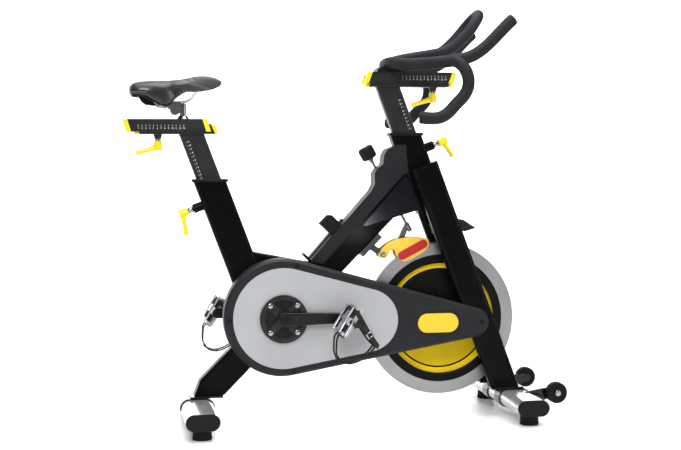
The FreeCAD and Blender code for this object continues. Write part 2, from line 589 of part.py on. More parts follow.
def pedal_body(side):
    frame = box(-44, 44, -45, 45, -10, 10).cut(box(-37, 37, -40, 40, -11, 11))
    frame = frame.fuse(disc(0, 0, 13.5, -45, 45))
    frame = frame.fuse(box(-40, 40, -7, 7, -5, 5))
    for x in (-44, 37):
        for k in range(6):
            y = -38 + 14 * k
            frame = frame.cut(box(x - 1, x + 8, y, y + 6, 7, 11)).cut(box(x - 1, x + 8, y, y + 6, -11, -7))
    return hang_pedal(frame.cut(disc(0, 0, 7 + RUN, -50, 50)), side)


def toe_clip(side):
    """Toe cage bolted to the pedal's front bar, and the strap over the foot."""
    outer = [(-44, -9), (-70, -2), (-100, 14), (-110, 34), (-106, 58), (-80, 84), (-48, 97), (-14, 101)]
    inner = [(-14, 97.5), (-47, 93.5), (-78, 80.5), (-102, 56), (-106, 35), (-97.5, 17.5), (-69, 2), (-44, -5)]
    cage = plate(outer + inner, -26, 26)
    window = plate([(-120, 20), (-60, 20), (-60, 70), (-120, 70)], -14, 14)
    cage = cage.cut(window).fuse(box(-48, -44, -20, 20, -9, 9))
    run = [(-14, 105), (-26, 99), (28, 6), (40, 12)]
    strap = plate(run, -50, 50).cut(plate([(-60, -20), (80, -20), (80, 101), (-60, 101)], -47.5, 47.5))
    strap = strap.cut(box(-60, 60, -60, 60, -20, 6))
    foot_loop = plate([(24, -14), (40, -14), (40, 13), (24, 13)], -50, 50)
    foot_loop = foot_loop.cut(plate([(20, -11.5), (44, -11.5), (44, 20), (20, 20)], -47.5, 47.5))
    return hang_pedal(cage.fuse(strap).fuse(foot_loop), side)


# ---- seat --------------------------------------------------------------------------------
def post(x, z, angle, below, top_z):
    outer = lean(rounded_bar(POST_D, POST_W, 8, -below, 300), x, z, angle)
    inner = rounded_bar(POST_D - 2 * POST_WALL, POST_W - 2 * POST_WALL, 5, -below - 1, 300)
    inner = lean(inner, x, z, angle)
    return outer.cut(inner).cut(box(x - 400, x + 400, -100, 100, top_z, top_z + 400))


def slanted(span, x0, x1, low, high, half):
    """Bar between two stations given along the rail's top edge, with ends cut at the rail's slant."""
    top = span[3] + CHANNEL_UP
    slope = span[4] / (top - span[2])
    upper = slope * (top - high)
    lower = slope * (top - low)
    return plate([(x0 + upper, high), (x1 + upper, high), (x1 + lower, low), (x0 + lower, low)], -half, half)


def rail(span):
    x0, x1, z0, z1, shift = span
    return slanted(span, x0, x1, z0, z1, 22).fuse(slanted(span, x0, x1, z1 - 1, z1 + CHANNEL_UP, TONGUE_W))


def rail_caps(span, rear, front):
    x0, x1, z0, z1, shift = span
    back = slanted(span, x0 - rear, x0, z0 + 0.5, z1 + CHANNEL_UP - 0.5, TONGUE_W)
    fore = slanted(span, x1, x1 + front, z0 + 0.5, z1 + CHANNEL_UP - 0.5, TONGUE_W)
    return Part.makeCompound([back, fore])


def lever_seat(x, z_rail, z_end, z_tip):
    """Tapered boss and threaded stud under a rail, which a clamp lever turns on."""
    boss = Part.makeCone(9.5, 12.5, z_rail + 1 - z_end, vec(x, 0, z_end))
    return boss.fuse(rod(vec(x, 0, z_end), vec(x, 0, z_tip), 5))


def seat_post():
    shape = post(SEAT_X, SEAT_Z, SEAT_LEAN, SEAT_IN_TUBE, SEAT_RAIL[2])
    return shape.fuse(rail(SEAT_RAIL)).fuse(lever_seat(-525, SEAT_RAIL[2], 805, 782))


def bar_post():
    shape = post(HEAD_X, HEAD_Z, HEAD_LEAN, BAR_IN_TUBE, BAR_RAIL[2])
    return shape.fuse(rail(BAR_RAIL)).fuse(lever_seat(266, BAR_RAIL[2], 941, 918))


def slider_part(span, inset, width):
    """Slice of the slanted slider profile between two insets from its ends."""
    x0, x1, z0, z1, shift = span
    a, b = inset
    outline = [(x0 + a, z1), (x1 - b, z1), (x1 - b + shift, z0), (x0 + a + shift, z0)]
    shape = plate(outline, -width, width)
    return shape.cut(box(x0 - 50, x1 + 50, -TONGUE_W - FIT, TONGUE_W + FIT, z0 - 1, z0 + CHANNEL_UP + FIT))


def slider(span):
    body = slider_part(span, (SLIDE_CAP, SLIDE_CAP), SLIDE_W)
    x0, x1, z0, z1, shift = span
    for side in (-1, 1):
        y0, y1 = sorted((side * (SLIDE_W - 1.2), side * (SLIDE_W + 1)))
        body = body.cut(box(x0 - 50, x1 + 50, y0, y1, z0 + 5, z0 + 7.5))
    return body


def slider_caps(span):
    length = span[1] - span[0]
    rear = slider_part(span, (0, length - SLIDE_CAP), SLIDE_W + 0.4)
    front = slider_part(span, (length - SLIDE_CAP, 0), SLIDE_W + 0.4)
    return Part.makeCompound([rear, front])


def saddle_pillar():
    top = SEAT_SLIDE[3]
    shape = Part.makeCone(18, 12, 9, vec(PILLAR_X, 0, top))
    shape = shape.fuse(Part.makeCylinder(10, 43, vec(PILLAR_X, 0, top)))
    shape = shape.fuse(box(TILT_X - 4, PILLAR_X, -17.5, 17.5, TILT_Z - 9, TILT_Z + 9))
    shape = shape.fuse(disc(TILT_X, TILT_Z, 9, -17.5, 17.5))
    return shape.fuse(disc(TILT_X, TILT_Z, 6, -27, 27))


def saddle_rails():
    """Two bent rails and the clamp cheeks that hold them on the tilt bolt."""
    runs = [(-372, 13, 950), (-395, 14, 944), (-417, 16, 936), (-436, 20, 914), (-460, 22.5, 905.5)]
    runs += [(-482, 22.5, 900), (-505, 22.5, 893), (-523, 26, 903), (-545, 34, 924), (-560, 38, 934)]
    shape = pipe(runs, 3.5)
    cheek = disc(TILT_X, TILT_Z, 14, 18.2, 26)
    cheek = cheek.fuse(box(-495, -461, 18.2, 28, 888, 909))
    shape = shape.fuse(cheek).cut(disc(TILT_X, TILT_Z, 6 + RUN, 10, 40))
    return both_sides(shape)


SADDLE = [
    (-605, 50, 944), (-602, 60, 950), (-594, 68, 956), (-575, 74, 958.5), (-545, 76, 960), (-515, 71, 960.5),
    (-485, 57, 963), (-455, 38, 966.5), (-425, 27, 973), (-395, 22, 979), (-370, 19.5, 977.5), (-352, 15, 971),
    (-343, 9, 964),
]


def saddle_solid(inset, drop):
    """Loft through arch sections; every section runs down to one level below the saddle."""
    first = SADDLE[0][0] + inset * 1.1
    last = SADDLE[-1][0] - inset * 1.1
    rings = []
    for x, w, top in SADDLE:
        x = min(max(x, first), last) if x in (SADDLE[0][0], SADDLE[-1][0]) else x
        if x < first or x > last:
            continue
        half, high, low = w - inset, top - drop, 872.0
        if half < 3.5:
            half = 3.5
        arch = [(half, low), (half * 1.0, high - 34), (half * 0.97, high - 18), (half * 0.84, high - 6)]
        arch += [(half * 0.5, high - 1.2), (0, high)]
        arch += [(-y, z) for y, z in reversed(arch[:-1])]
        curve = Part.BSplineCurve()
        curve.interpolate([vec(x, y, z) for y, z in arch])
        base = Part.LineSegment(vec(x, -half, low), vec(x, half, low)).toShape()
        rings.append(Part.Wire([curve.toShape(), base]))
    return Part.makeLoft(rings, True, False)


def saddle_side():
    """Everything above the saddle's lower edge, seen from the side."""
    outline = [(-650, 926), (-602, 926), (-573, 922), (-545, 908), (-520, 895), (-505, 892), (-492, 898)]
    outline += [(-471, 920), (-443, 938), (-409, 936), (-371, 943), (-341, 956), (-300, 956), (-300, 1050)]
    return plate(outline + [(-650, 1050)], -100, 100)


def saddle_keel():
    """Hollow pocket under the rear of the saddle shell."""
    outer = [(-580, 946), (-578, 923), (-569, 908), (-558, 899.5), (-535, 896.5), (-518, 901), (-512, 946)]
    inner = [(-577, 943), (-575, 924), (-567, 911), (-557, 902.5), (-535, 899.5), (-520, 903.5), (-515, 943)]
    return plate(outer, -18, 18).cut(plate(inner, -15.5, 15.5))


def largest(shape):
    return max(shape.Solids, key=lambda solid: solid.Volume)


def saddle_parts():
    """Padding, shell with its keel pocket, and the rails that end against the shell."""
    side = saddle_side()
    middle = saddle_solid(7, 12)
    block = middle.common(side)
    shell = block.cut(saddle_solid(10, 15))
    cushion = saddle_solid(0, 0).common(side).cut(middle)
    keel = largest(saddle_keel().cut(block))
    rails = Part.makeCompound([largest(rail.cut(shell)) for rail in saddle_rails().Solids])
    return cushion.cut(rails), Part.makeCompound([shell, keel]), rails


# ---- handlebar ---------------------------------------------------------------------------
def bar_arms():
    half = [(130, 0, 1019), (131, -30, 1019), (139, -62, 1017), (160, -100, 1010), (200, -140, 1009)]
    half += [(247, -171, 1011), (285, -189, 1016), (322, -195, 1025), (349, -195, 1040), (395, -195, 1081)]
    half += [(446, -195, 1130)]
    arm = rounded_end(pipe(half, GRIP_R), vec(*half[-1]))
    loop = [(138, -46, 1021), (168, -50, 1028), (215, -53, 1036), (262, -55, 1044), (300, -55, 1056)]
    loop += [(335, -55, 1083), (362, -53, 1112), (385, -40, 1142), (397, -20, 1157), (401, 0, 1162)]
    loop += [(x, -y, z) for x, y, z in reversed(loop[:-1])]
    return arm.fuse(mirror_y(arm)).fuse(pipe(loop, 15.5))


def rounded_end(tube, point):
    """Fillet on the end face of a grip that is centred on a point."""
    rim = [e for e in tube.Edges if e.CenterOfMass.sub(point).Length < 1 and e.Length > GRIP_R * 6]
    return tube.makeFillet(6, rim)


def bar_drops(arms):
    line = [(276, -184, 1014), (292, -203, 1003), (304, -214, 982), (309.5, -217, 954), (302, -217, 925)]
    line += [(273, -217, 892), (247, -216, 866), (225, -213, 856), (199, -210, 855), (173, -205, 857)]
    drop = rounded_end(pipe(line, GRIP_R), vec(*line[-1])).cut(arms)
    solid = sorted(drop.Solids, key=lambda s: s.Volume)[-1]
    return both_sides(solid)


def bar_clamp(arms):
    block = plate([(94, 994), (97, 1003), (106, 1010), (124, 1016), (150, 1020), (172, 1020), (172, 994)], -31, 31)
    block = block.makeFillet(5, [e for e in block.Edges if e.BoundBox.ZMin > 1000 and e.Length < 30])
    return block.cut(arms)


# ---- levers and brake --------------------------------------------------------------------
def clamp_lever(base, direction, arm_end):
    """Hub that turns on a stud, with a tapered arm and a rounded grip end."""
    axis = vec(*direction).normalize()
    hub = Part.makeCylinder(11.5, 27, base, axis)
    hub = hub.makeFillet(3, [hub.Edges[0]])
    middle = base.add(vec(axis.x * 15, axis.y * 15, axis.z * 15))
    arm = capsule(middle, arm_end, 8.5, 5.0)
    grip = middle.add(arm_end.sub(middle).multiply(0.86))
    arm = arm.fuse(capsule(grip, arm_end, 5.8, 7.2))
    bore = Part.makeCylinder(5 + RUN, 19, base, axis)
    return hub.fuse(arm).cut(bore).removeSplitter()


def seat_lever():
    return clamp_lever(vec(-525, 0, 799), (0, 0, -1), vec(-580, 0, 766))


def bar_lever():
    return clamp_lever(vec(266, 0, 935), (0, 0, -1), vec(208, 0, 902))


def tube_lever(x, z, angle, along, side, arm_end):
    reach = side * (SEAT_D / 2 + LEVER_REACH)
    base = on_axis(x, z, angle, along, reach)
    tip = on_axis(x, z, angle, along, reach + side * 20)
    return clamp_lever(base, (tip.x - base.x, 0, tip.z - base.z), arm_end)


def seat_post_lever():
    return tube_lever(SEAT_X, SEAT_Z, SEAT_LEAN, SEAT_CLAMP, -1, vec(-450, 0, 541))


def bar_post_lever():
    return tube_lever(HEAD_X, HEAD_Z, HEAD_LEAN, HEAD_CLAMP, 1, vec(321.5, 0, 757))


def brake_axis():
    return vec(KNOB[0] - ROD_END[0], 0, KNOB[1] - ROD_END[1]).normalize()


def along_rod(distance):
    """Point on the brake rod, measured upward from the middle of its knob."""
    axis = brake_axis()
    return vec(KNOB[0] + axis.x * distance, 0, KNOB[1] + axis.z * distance)


def knob_rod():
    """Brake rod with its collar under the knob and the link that pulls on the arm's pin."""
    end = vec(ROD_END[0], 0, ROD_END[1])
    shape = rod(along_rod(0), end, ROD_R)
    shape = shape.fuse(rod(along_rod(-KNOB_H / 2 - 0.4), along_rod(-KNOB_H / 2 - 6), 7.5))
    shape = shape.fuse(rod(along_rod(-KNOB_H / 2 - 6), along_rod(-KNOB_H / 2 - 12), 5.5))
    nut = vec(187, 0, 555)
    shape = shape.fuse(rod(nut, end, 7))
    link = belt_plate((LINK_PIN[0], LINK_PIN[1], 9), (186.5, 556, 7), -5, 5)
    return shape.fuse(link).cut(disc(LINK_PIN[0], LINK_PIN[1], 5.2, -10, 10))


def tension_knob():
    """Barrel knob with eight finger flutes."""
    axis = brake_axis()
    low = along_rod(-KNOB_H / 2)
    knob = Part.makeCylinder(KNOB_R, KNOB_H, low, axis)
    knob = knob.makeFillet(8, [e for e in knob.Edges if abs(e.Length - 2 * math.pi * KNOB_R) < 1])
    for k in range(8):
        notch = Part.makeCylinder(3.5, KNOB_H, low.add(vec(-axis.z * (KNOB_R + 2), 0, axis.x * (KNOB_R + 2))), axis)
        notch.rotate(low, axis, 45 * k + 22.5)
        knob = knob.cut(notch)
    return knob.cut(Part.makeCylinder(ROD_R + RUN, KNOB_H / 2 + 1.5, low, axis))


def insert_prism(y0, y1, grow=0.0):
    return belt_plate((167, 468, 12.5), (229, 500, 12.49), y0, y1, grow)


def brake_arm():
    outline = [(99, 474), (114, 492), (136, 507), (160, 516), (190, 520), (224, 519), (242, 513), (246, 500)]
    outline += [(239, 486), (214, 468), (186, 454), (170, 451), (158, 459), (150, 470), (147, 481), (140, 486)]
    outline += [(131, 481), (122, 465), (109, 461), (100, 466)]
    cheek = smooth_plate(outline, CHEEK_IN, CHEEK_OUT)
    cheek = cheek.cut(insert_prism(CHEEK_OUT - 1.5, CHEEK_OUT + 1, 0.3))
    bridge = plate([(124, 485), (131, 483), (143, 495), (141, 505), (130, 498)], -CHEEK_IN, CHEEK_IN)
    arm = cheek.fuse(mirror_y(cheek)).fuse(bridge)
    arm = arm.fuse(disc(LINK_PIN[0], LINK_PIN[1], 4, -CHEEK_IN - 2, CHEEK_IN + 2))
    return arm.cut(disc(PIVOT[0], PIVOT[1], 5 + RUN, -40, 40))


def brake_insert():
    return both_sides(insert_prism(CHEEK_OUT - 1.5, CHEEK_OUT + 0.8))


# ---- assembly ----------------------------------------------------------------------------
def build():
    main = main_bar()
    seat = seat_bar()
    head = head_bar()
    leg = leg_bar()
    cover = tube_cover(main, head)
    gusset = gussets(cover)
    arms = bar_arms()
    cushion, shell, rails = saddle_parts()
    strut = strut_tube(main, seat)
    parts = {
        "rear_stabilizer": stabilizer(STAB_X["rear"]),
        "front_stabilizer": stabilizer(STAB_X["front"]),
        "stabilizer_end_caps": end_caps(),
        "main_tube": main_tube(head),
        "seat_tube": seat_tube(main),
        "strut_tube": strut,
        "head_tube": head_tube(),
        "fork_legs": fork_legs(gusset),
        "frame_plates": frame_plates(gusset, leg),
        "guard_outer": guard_outer(),
        "guard_inner": guard_inner(),
        "guard_panel": guard_panel(),
        "guard_badge": guard_badge(),
        "down_tube_cover": cover,
        "bottle_cage": bottle_cage(cover, strut),
        "tube_collars": collars(),
        "brake_bracket": brake_bracket(main),
        "frame_bolts": axle_and_bolts(),
        "drive_belt": drive_belt(),
        "sweat_guard": sweat_guard(),
        "flywheel": flywheel(),
        "flywheel_pulley": flywheel_pulley(),
        "crank_spindle": crank_spindle(),
        "drive_pulley": drive_pulley(),
        "crank_spider": crank_spider(),
        "crank_arm_right": crank_arm(-1),
        "crank_arm_left": crank_arm(1),
        "pedal_body_right": pedal_body(-1),
        "toe_clip_right": toe_clip(-1),
        "pedal_body_left": pedal_body(1),
        "toe_clip_left": toe_clip(1),
        "seat_post": seat_post(),
        "seat_rail_caps": rail_caps(SEAT_RAIL, 14, 10),
        "seat_slider": slider(SEAT_SLIDE),
        "seat_slider_caps": slider_caps(SEAT_SLIDE),
        "saddle_pillar": saddle_pillar(),
        "saddle_rails": rails,
        "saddle_shell": shell,
        "saddle_cushion": cushion,
        "bar_post": bar_post(),
        "bar_rail_caps": rail_caps(BAR_RAIL, 12, 10),
        "bar_slider": slider(BAR_SLIDE),
        "bar_slider_caps": slider_caps(BAR_SLIDE),
        "handlebar_clamp": bar_clamp(arms),
        "handlebar_arms": arms,
        "handlebar_drops": bar_drops(arms),
        "seat_lever": seat_lever(),
        "bar_lever": bar_lever(),
        "seat_post_lever": seat_post_lever(),
        "bar_post_lever": bar_post_lever(),
        "knob_rod": knob_rod(),
        "tension_knob": tension_knob(),
        "brake_arm": brake_arm(),
        "brake_insert": brake_insert(),
        "transport_wheel_right": transport_wheel(-1),
        "transport_wheel_left": transport_wheel(1),
    }
    for end, x in STAB_X.items():
        for name, y in (("right", -FOOT_Y), ("left", FOOT_Y)):
            parts["foot_" + end + "_" + name] = foot(x, y)
    return parts


os.makedirs("parts", exist_ok=True)
for node, shape in build().items():
    shape.exportStep("parts/" + node + ".step")
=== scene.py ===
import json
import math

import bmesh
import bpy
from mathutils import Matrix, Vector
from mathutils.bvhtree import BVHTree


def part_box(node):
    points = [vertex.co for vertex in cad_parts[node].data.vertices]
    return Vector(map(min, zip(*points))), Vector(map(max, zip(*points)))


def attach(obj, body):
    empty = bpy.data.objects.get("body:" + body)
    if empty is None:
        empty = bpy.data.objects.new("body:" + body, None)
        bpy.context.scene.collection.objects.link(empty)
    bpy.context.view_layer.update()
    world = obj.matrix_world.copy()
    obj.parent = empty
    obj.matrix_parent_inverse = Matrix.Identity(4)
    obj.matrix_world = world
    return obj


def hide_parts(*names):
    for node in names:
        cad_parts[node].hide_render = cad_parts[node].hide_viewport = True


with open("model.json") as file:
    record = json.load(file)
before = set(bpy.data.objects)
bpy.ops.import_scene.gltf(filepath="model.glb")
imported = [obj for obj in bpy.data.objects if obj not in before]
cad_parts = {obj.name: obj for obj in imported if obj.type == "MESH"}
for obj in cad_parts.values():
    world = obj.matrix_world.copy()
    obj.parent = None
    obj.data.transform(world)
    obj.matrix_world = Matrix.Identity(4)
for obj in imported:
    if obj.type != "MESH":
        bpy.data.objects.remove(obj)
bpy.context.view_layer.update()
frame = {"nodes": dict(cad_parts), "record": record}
NODES = frame["nodes"]

JOINTS = {joint["name"]: joint for joint in frame["record"]["behaviour"]["joints"]}
PEDAL_HANG = math.radians(58.0)  # how far the pedals hang from level
PEDALS = ((-1, "right"), (1, "left"))
POST_SIDE = -0.01704            # Y of the posts' side face
TUBE_TO_LEVER = 0.095           # from a tube's axis to the anchor of its clamp lever
EDGE_RADIUS = 0.0016            # how far worn edges reach over a face
NOSE_BLEND = (-0.46, -0.41)     # X over which the saddle's cover turns drier towards the nose
# Radii where the flywheel's finish changes, from the hub outwards.
HUB_EDGE, DISC_EDGE, RING_INNER, RING_OUTER, RIM_INNER = 0.028, 0.141, 0.146, 0.160, 0.1855
# The spider's pockets lie between two radii, off its diagonal arms.
POCKET_INNER, POCKET_OUTER, ARM_REACH = 0.02, 0.052, 0.017


def joint_point(name):
    """Where a joint is anchored at rest."""
    return Vector(JOINTS[name]["pos_m"])


def joint_axis(name):
    """Unit direction that a joint turns about or slides along."""
    return Vector(JOINTS[name]["axis"]).normalized()


def tube_point(lever_joint):
    """Where a clamp lever's screw crosses the axis of its tube."""
    return joint_point(lever_joint) - joint_axis(lever_joint) * TUBE_TO_LEVER


# ---- node helpers ------------------------------------------------------------------------
class Shader:
    """A Principled material with helpers that add procedural detail to it."""

    def __init__(self, name, base, rough, metallic=0.0, coat=0.0, coat_rough=0.08, specular=0.5):
        self.material = bpy.data.materials.new(name)
        self.material.use_nodes = True
        self.tree = self.material.node_tree
        self.bsdf = self.tree.nodes["Principled BSDF"]
        self.bsdf.inputs["Base Color"].default_value = (*base, 1)
        self.bsdf.inputs["Roughness"].default_value = rough
        self.bsdf.inputs["Metallic"].default_value = metallic
        self.bsdf.inputs["Coat Weight"].default_value = coat
        self.bsdf.inputs["Coat Roughness"].default_value = coat_rough
        self.bsdf.inputs["Specular IOR Level"].default_value = specular
        self.coord = self.add("ShaderNodeTexCoord").outputs["Object"]
        self.normal = None
        self.material.diffuse_color = (*base, 1)

    def add(self, kind, **values):
        node = self.tree.nodes.new(kind)
        for key, value in values.items():
            setattr(node, key, value)
        return node

    def link(self, source, target):
        self.tree.links.new(source, target)

    def math(self, operation, a, b=None, clamp=False):
        node = self.add("ShaderNodeMath", operation=operation, use_clamp=clamp)
        for socket, value in zip(node.inputs, (a, b)):
            if value is None:
                continue
            if isinstance(value, (int, float)):
                socket.default_value = value
            else:
                self.link(value, socket)
        return node.outputs[0]

    def noise(self, scale, detail=3.0, rough=0.55, stretch=None):
        vector = self.coord
        if stretch:
            mapping = self.add("ShaderNodeMapping")
            mapping.inputs["Scale"].default_value = stretch
            self.link(vector, mapping.inputs["Vector"])
            vector = mapping.outputs[0]
        node = self.add("ShaderNodeTexNoise")
        node.inputs["Scale"].default_value = scale
        node.inputs["Detail"].default_value = detail
        node.inputs["Roughness"].default_value = rough
        self.link(vector, node.inputs["Vector"])
        return node.outputs["Fac"]

    def cells(self, scale, feature="F1"):
        node = self.add("ShaderNodeTexVoronoi", feature=feature)
        node.inputs["Scale"].default_value = scale
        self.link(self.coord, node.inputs["Vector"])
        return node.outputs["Distance"]

    def remap(self, value, low, high, to_low=0.0, to_high=1.0):
        node = self.add("ShaderNodeMapRange")
        self.link(value, node.inputs["Value"])
        for key, number in (("From Min", low), ("From Max", high), ("To Min", to_low), ("To Max", to_high)):
            node.inputs[key].default_value = number
        return node.outputs["Result"]

    def mix(self, factor, first, second):
        """Colour mix; sockets 6 and 7 of the node are its two colours, and output 2 is the result."""
        node = self.add("ShaderNodeMix", data_type="RGBA")
        self.link(factor, node.inputs["Factor"])
        for index, value in ((6, first), (7, second)):
            if isinstance(value, tuple):
                node.inputs[index].default_value = (*value, 1)
            else:
                self.link(value, node.inputs[index])
        return node.outputs[2]

    def colour(self, socket):
        self.link(socket, self.bsdf.inputs["Base Color"])

    def rough(self, socket):
        self.link(socket, self.bsdf.inputs["Roughness"])

    def bump(self, height, distance, strength=1.0):
        node = self.add("ShaderNodeBump")
        node.inputs["Distance"].default_value = distance
        node.inputs["Strength"].default_value = strength
        self.link(height, node.inputs["Height"])
        if self.normal is not None:
            self.link(self.normal, node.inputs["Normal"])
        self.normal = node.outputs[0]
        self.link(self.normal, self.bsdf.inputs["Normal"])

    def edges(self):
        """1 on sharp convex edges, 0 on flats."""
        bevel = self.add("ShaderNodeBevel", samples=4)
        bevel.inputs["Radius"].default_value = EDGE_RADIUS
        geometry = self.add("ShaderNodeNewGeometry")
        dot = self.add("ShaderNodeVectorMath", operation="DOT_PRODUCT")
        self.link(bevel.outputs[0], dot.inputs[0])
        self.link(geometry.outputs["Normal"], dot.inputs[1])
        return self.remap(dot.outputs["Value"], 0.72, 0.99, 1.0, 0.0)

    def radius(self, x, z):
        """Distance from an axis that runs along Y."""
        shift = self.add("ShaderNodeVectorMath", operation="SUBTRACT")
        self.link(self.coord, shift.inputs[0])
        shift.inputs[1].default_value = (x, 0, z)
        flat = self.add("ShaderNodeVectorMath", operation="MULTIPLY")
        self.link(shift.outputs[0], flat.inputs[0])
        flat.inputs[1].default_value = (1, 0, 1)
        length = self.add("ShaderNodeVectorMath", operation="LENGTH")
        self.link(flat.outputs[0], length.inputs[0])
        return length.outputs["Value"]

    def axis(self, index):
        split = self.add("ShaderNodeSeparateXYZ")
        self.link(self.coord, split.inputs[0])
        return split.outputs[index]


def tone(base, factor):
    return tuple(min(1.0, c * factor) for c in base)


def painted(name, base, rough, coat, worn, metallic=0.0, specular=0.5, ior=1.5):
    """Sprayed or powder-coated metal: faint orange peel, uneven gloss, thin worn edges."""
    s = Shader(name, base, rough, metallic, coat, specular=specular)
    s.bsdf.inputs["IOR"].default_value = ior
    broad = s.noise(7, 4)
    s.rough(s.remap(broad, 0.3, 0.7, rough * 0.75, rough * 1.35))
    body = s.mix(s.remap(s.noise(22, 5), 0.3, 0.7), tone(base, 0.82), tone(base, 1.22))
    wear = s.math("MULTIPLY", s.edges(), s.remap(s.noise(60, 4), 0.45, 0.7), clamp=True)
    s.colour(s.mix(s.math("MULTIPLY", wear, 0.55), body, worn))
    s.bump(s.noise(420, 2), 0.00012, 0.35)
    return s.material


def moulded(name, base, rough, grain=1300, depth=0.00016, coat=0.0, vary=0.1, specular=0.5):
    """Injection-moulded plastic with a fine spark-eroded grain."""
    s = Shader(name, base, rough, coat=coat, specular=specular)
    s.rough(s.remap(s.noise(11, 4), 0.3, 0.7, rough * 0.85, rough * 1.15))
    body = s.mix(s.remap(s.noise(17, 5), 0.3, 0.7), tone(base, 1 - vary), tone(base, 1 + vary))
    s.colour(s.mix(s.math("MULTIPLY", s.edges(), 0.4), body, tone(base, 1 + 5 * vary)))
    s.bump(s.cells(grain), depth, 0.6)
    s.bump(s.noise(grain * 0.35, 3), depth, 0.35)
    return s.material


def rubber(name, base, rough, grain=700):
    """Soft rubber with dust in its hollows."""
    s = Shader(name, base, rough, specular=0.15)
    dust = s.remap(s.noise(14, 6), 0.42, 0.75)
    s.colour(s.mix(s.math("MULTIPLY", dust, 0.5), base, tone(base, 1.8)))
    s.rough(s.remap(s.noise(30, 4), 0.3, 0.7, rough * 0.9, min(1.0, rough * 1.1)))
    s.bump(s.noise(grain, 4), 0.00025, 0.5)
    return s.material


def steel(name, base, rough, stretch=(40, 40, 900), scale=3.0):
    """Bright or brushed metal with fine directional scratches."""
    s = Shader(name, base, rough, metallic=1.0)
    lines = s.noise(scale, 4, 0.6, stretch)
    s.rough(s.remap(lines, 0.3, 0.7, rough * 0.7, rough * 1.5))
    s.colour(s.mix(s.remap(s.noise(35, 4), 0.3, 0.7), tone(base, 0.88), tone(base, 1.06)))
    s.bump(lines, 0.00005, 0.3)
    return s.material


def saddle_cover_leather():
    """Glossy vinyl flanks and a drier, paler top and nose, parted along the seam; the top's paleness, taken
    from upward-facing normals, is painted light from above.
    """
    s = Shader("saddle_leather", (0.02, 0.02, 0.022), 0.34, coat=0.18, coat_rough=0.22, specular=0.4)
    pebble = s.cells(560, "SMOOTH_F1")
    geometry = s.add("ShaderNodeNewGeometry")
    split = s.add("ShaderNodeSeparateXYZ")
    s.link(geometry.outputs["Normal"], split.inputs[0])
    # upward faces get the paler tone: painted light from above; the rougher finish they also get is the
    # cover's own
    up = s.remap(split.outputs[2], 0.45, 0.75)
    nose = s.remap(s.axis(0), *NOSE_BLEND)
    matte_and_lit = s.math("MAXIMUM", up, nose, clamp=True)
    fine = s.mix(s.remap(pebble, 0.1, 0.7), (0.024, 0.024, 0.026), (0.01, 0.01, 0.011))
    matte_lit_tone = s.mix(s.remap(pebble, 0.1, 0.7), (0.05, 0.05, 0.052), (0.026, 0.026, 0.028))
    # paler where the cover faces up (painted light from above) and towards the nose
    s.colour(s.mix(matte_and_lit, fine, matte_lit_tone))
    blotch = s.remap(s.noise(14, 4), 0.3, 0.7, 0.0, 0.08)
    s.rough(s.math("ADD", s.remap(matte_and_lit, 0.0, 1.0, 0.24, 0.5), blotch))
    s.bump(s.noise(38, 4), 0.0012, 0.25)
    s.bump(pebble, 0.00028, 0.45)
    return s.material


def flywheel_iron():
    """Cast wheel: machined rim ring, painted bands, two-tone disc, turned in the lathe."""
    s = Shader("flywheel_iron", (0.5, 0.5, 0.5), 0.35, specular=0.12)
    hub_point = joint_point("flywheel_spin")
    r = s.radius(hub_point.x, hub_point.z)
    rings = s.add("ShaderNodeTexNoise", noise_dimensions="1D")
    rings.inputs["Scale"].default_value = 900
    rings.inputs["Detail"].default_value = 3
    s.link(r, rings.inputs["W"])
    lathe_marks = rings.outputs["Fac"]
    machined = s.mix(s.remap(lathe_marks, 0.3, 0.7), (0.3, 0.3, 0.31), (0.52, 0.52, 0.53))
    black = s.mix(s.noise(40, 4), (0.002, 0.002, 0.0023), (0.005, 0.005, 0.0055))
    gold = s.mix(s.noise(30, 4), (0.74, 0.5, 0.004), (0.84, 0.58, 0.006))
    yellow = s.mix(s.noise(30, 4), (0.92, 0.66, 0.004), (1.0, 0.74, 0.008))
    hub = s.mix(s.noise(60, 4), (0.3, 0.3, 0.31), (0.5, 0.5, 0.5))

    def beyond(limit):
        return s.math("GREATER_THAN", r, limit)

    lower = s.math("LESS_THAN", s.axis(2), hub_point.z)
    disc = s.mix(lower, black, gold)
    colour = s.mix(beyond(HUB_EDGE), hub, disc)
    colour = s.mix(beyond(DISC_EDGE), colour, black)
    colour = s.mix(beyond(RING_INNER), colour, yellow)
    colour = s.mix(beyond(RING_OUTER), colour, black)
    rim = beyond(RIM_INNER)
    colour = s.mix(rim, colour, machined)
    s.colour(colour)
    bare_hub = s.math("LESS_THAN", r, HUB_EDGE)
    s.link(s.math("MAXIMUM", rim, bare_hub), s.bsdf.inputs["Metallic"])
    grime = s.remap(s.noise(9, 4), 0.3, 0.7, -0.05, 0.08)
    s.rough(s.math("ADD", s.remap(lathe_marks, 0.2, 0.8, 0.3, 0.42), grime))
    s.bump(s.math("MULTIPLY", lathe_marks, rim), 0.00012, 0.5)
    s.bump(s.noise(300, 3), 0.0001, 0.3)
    return s.material


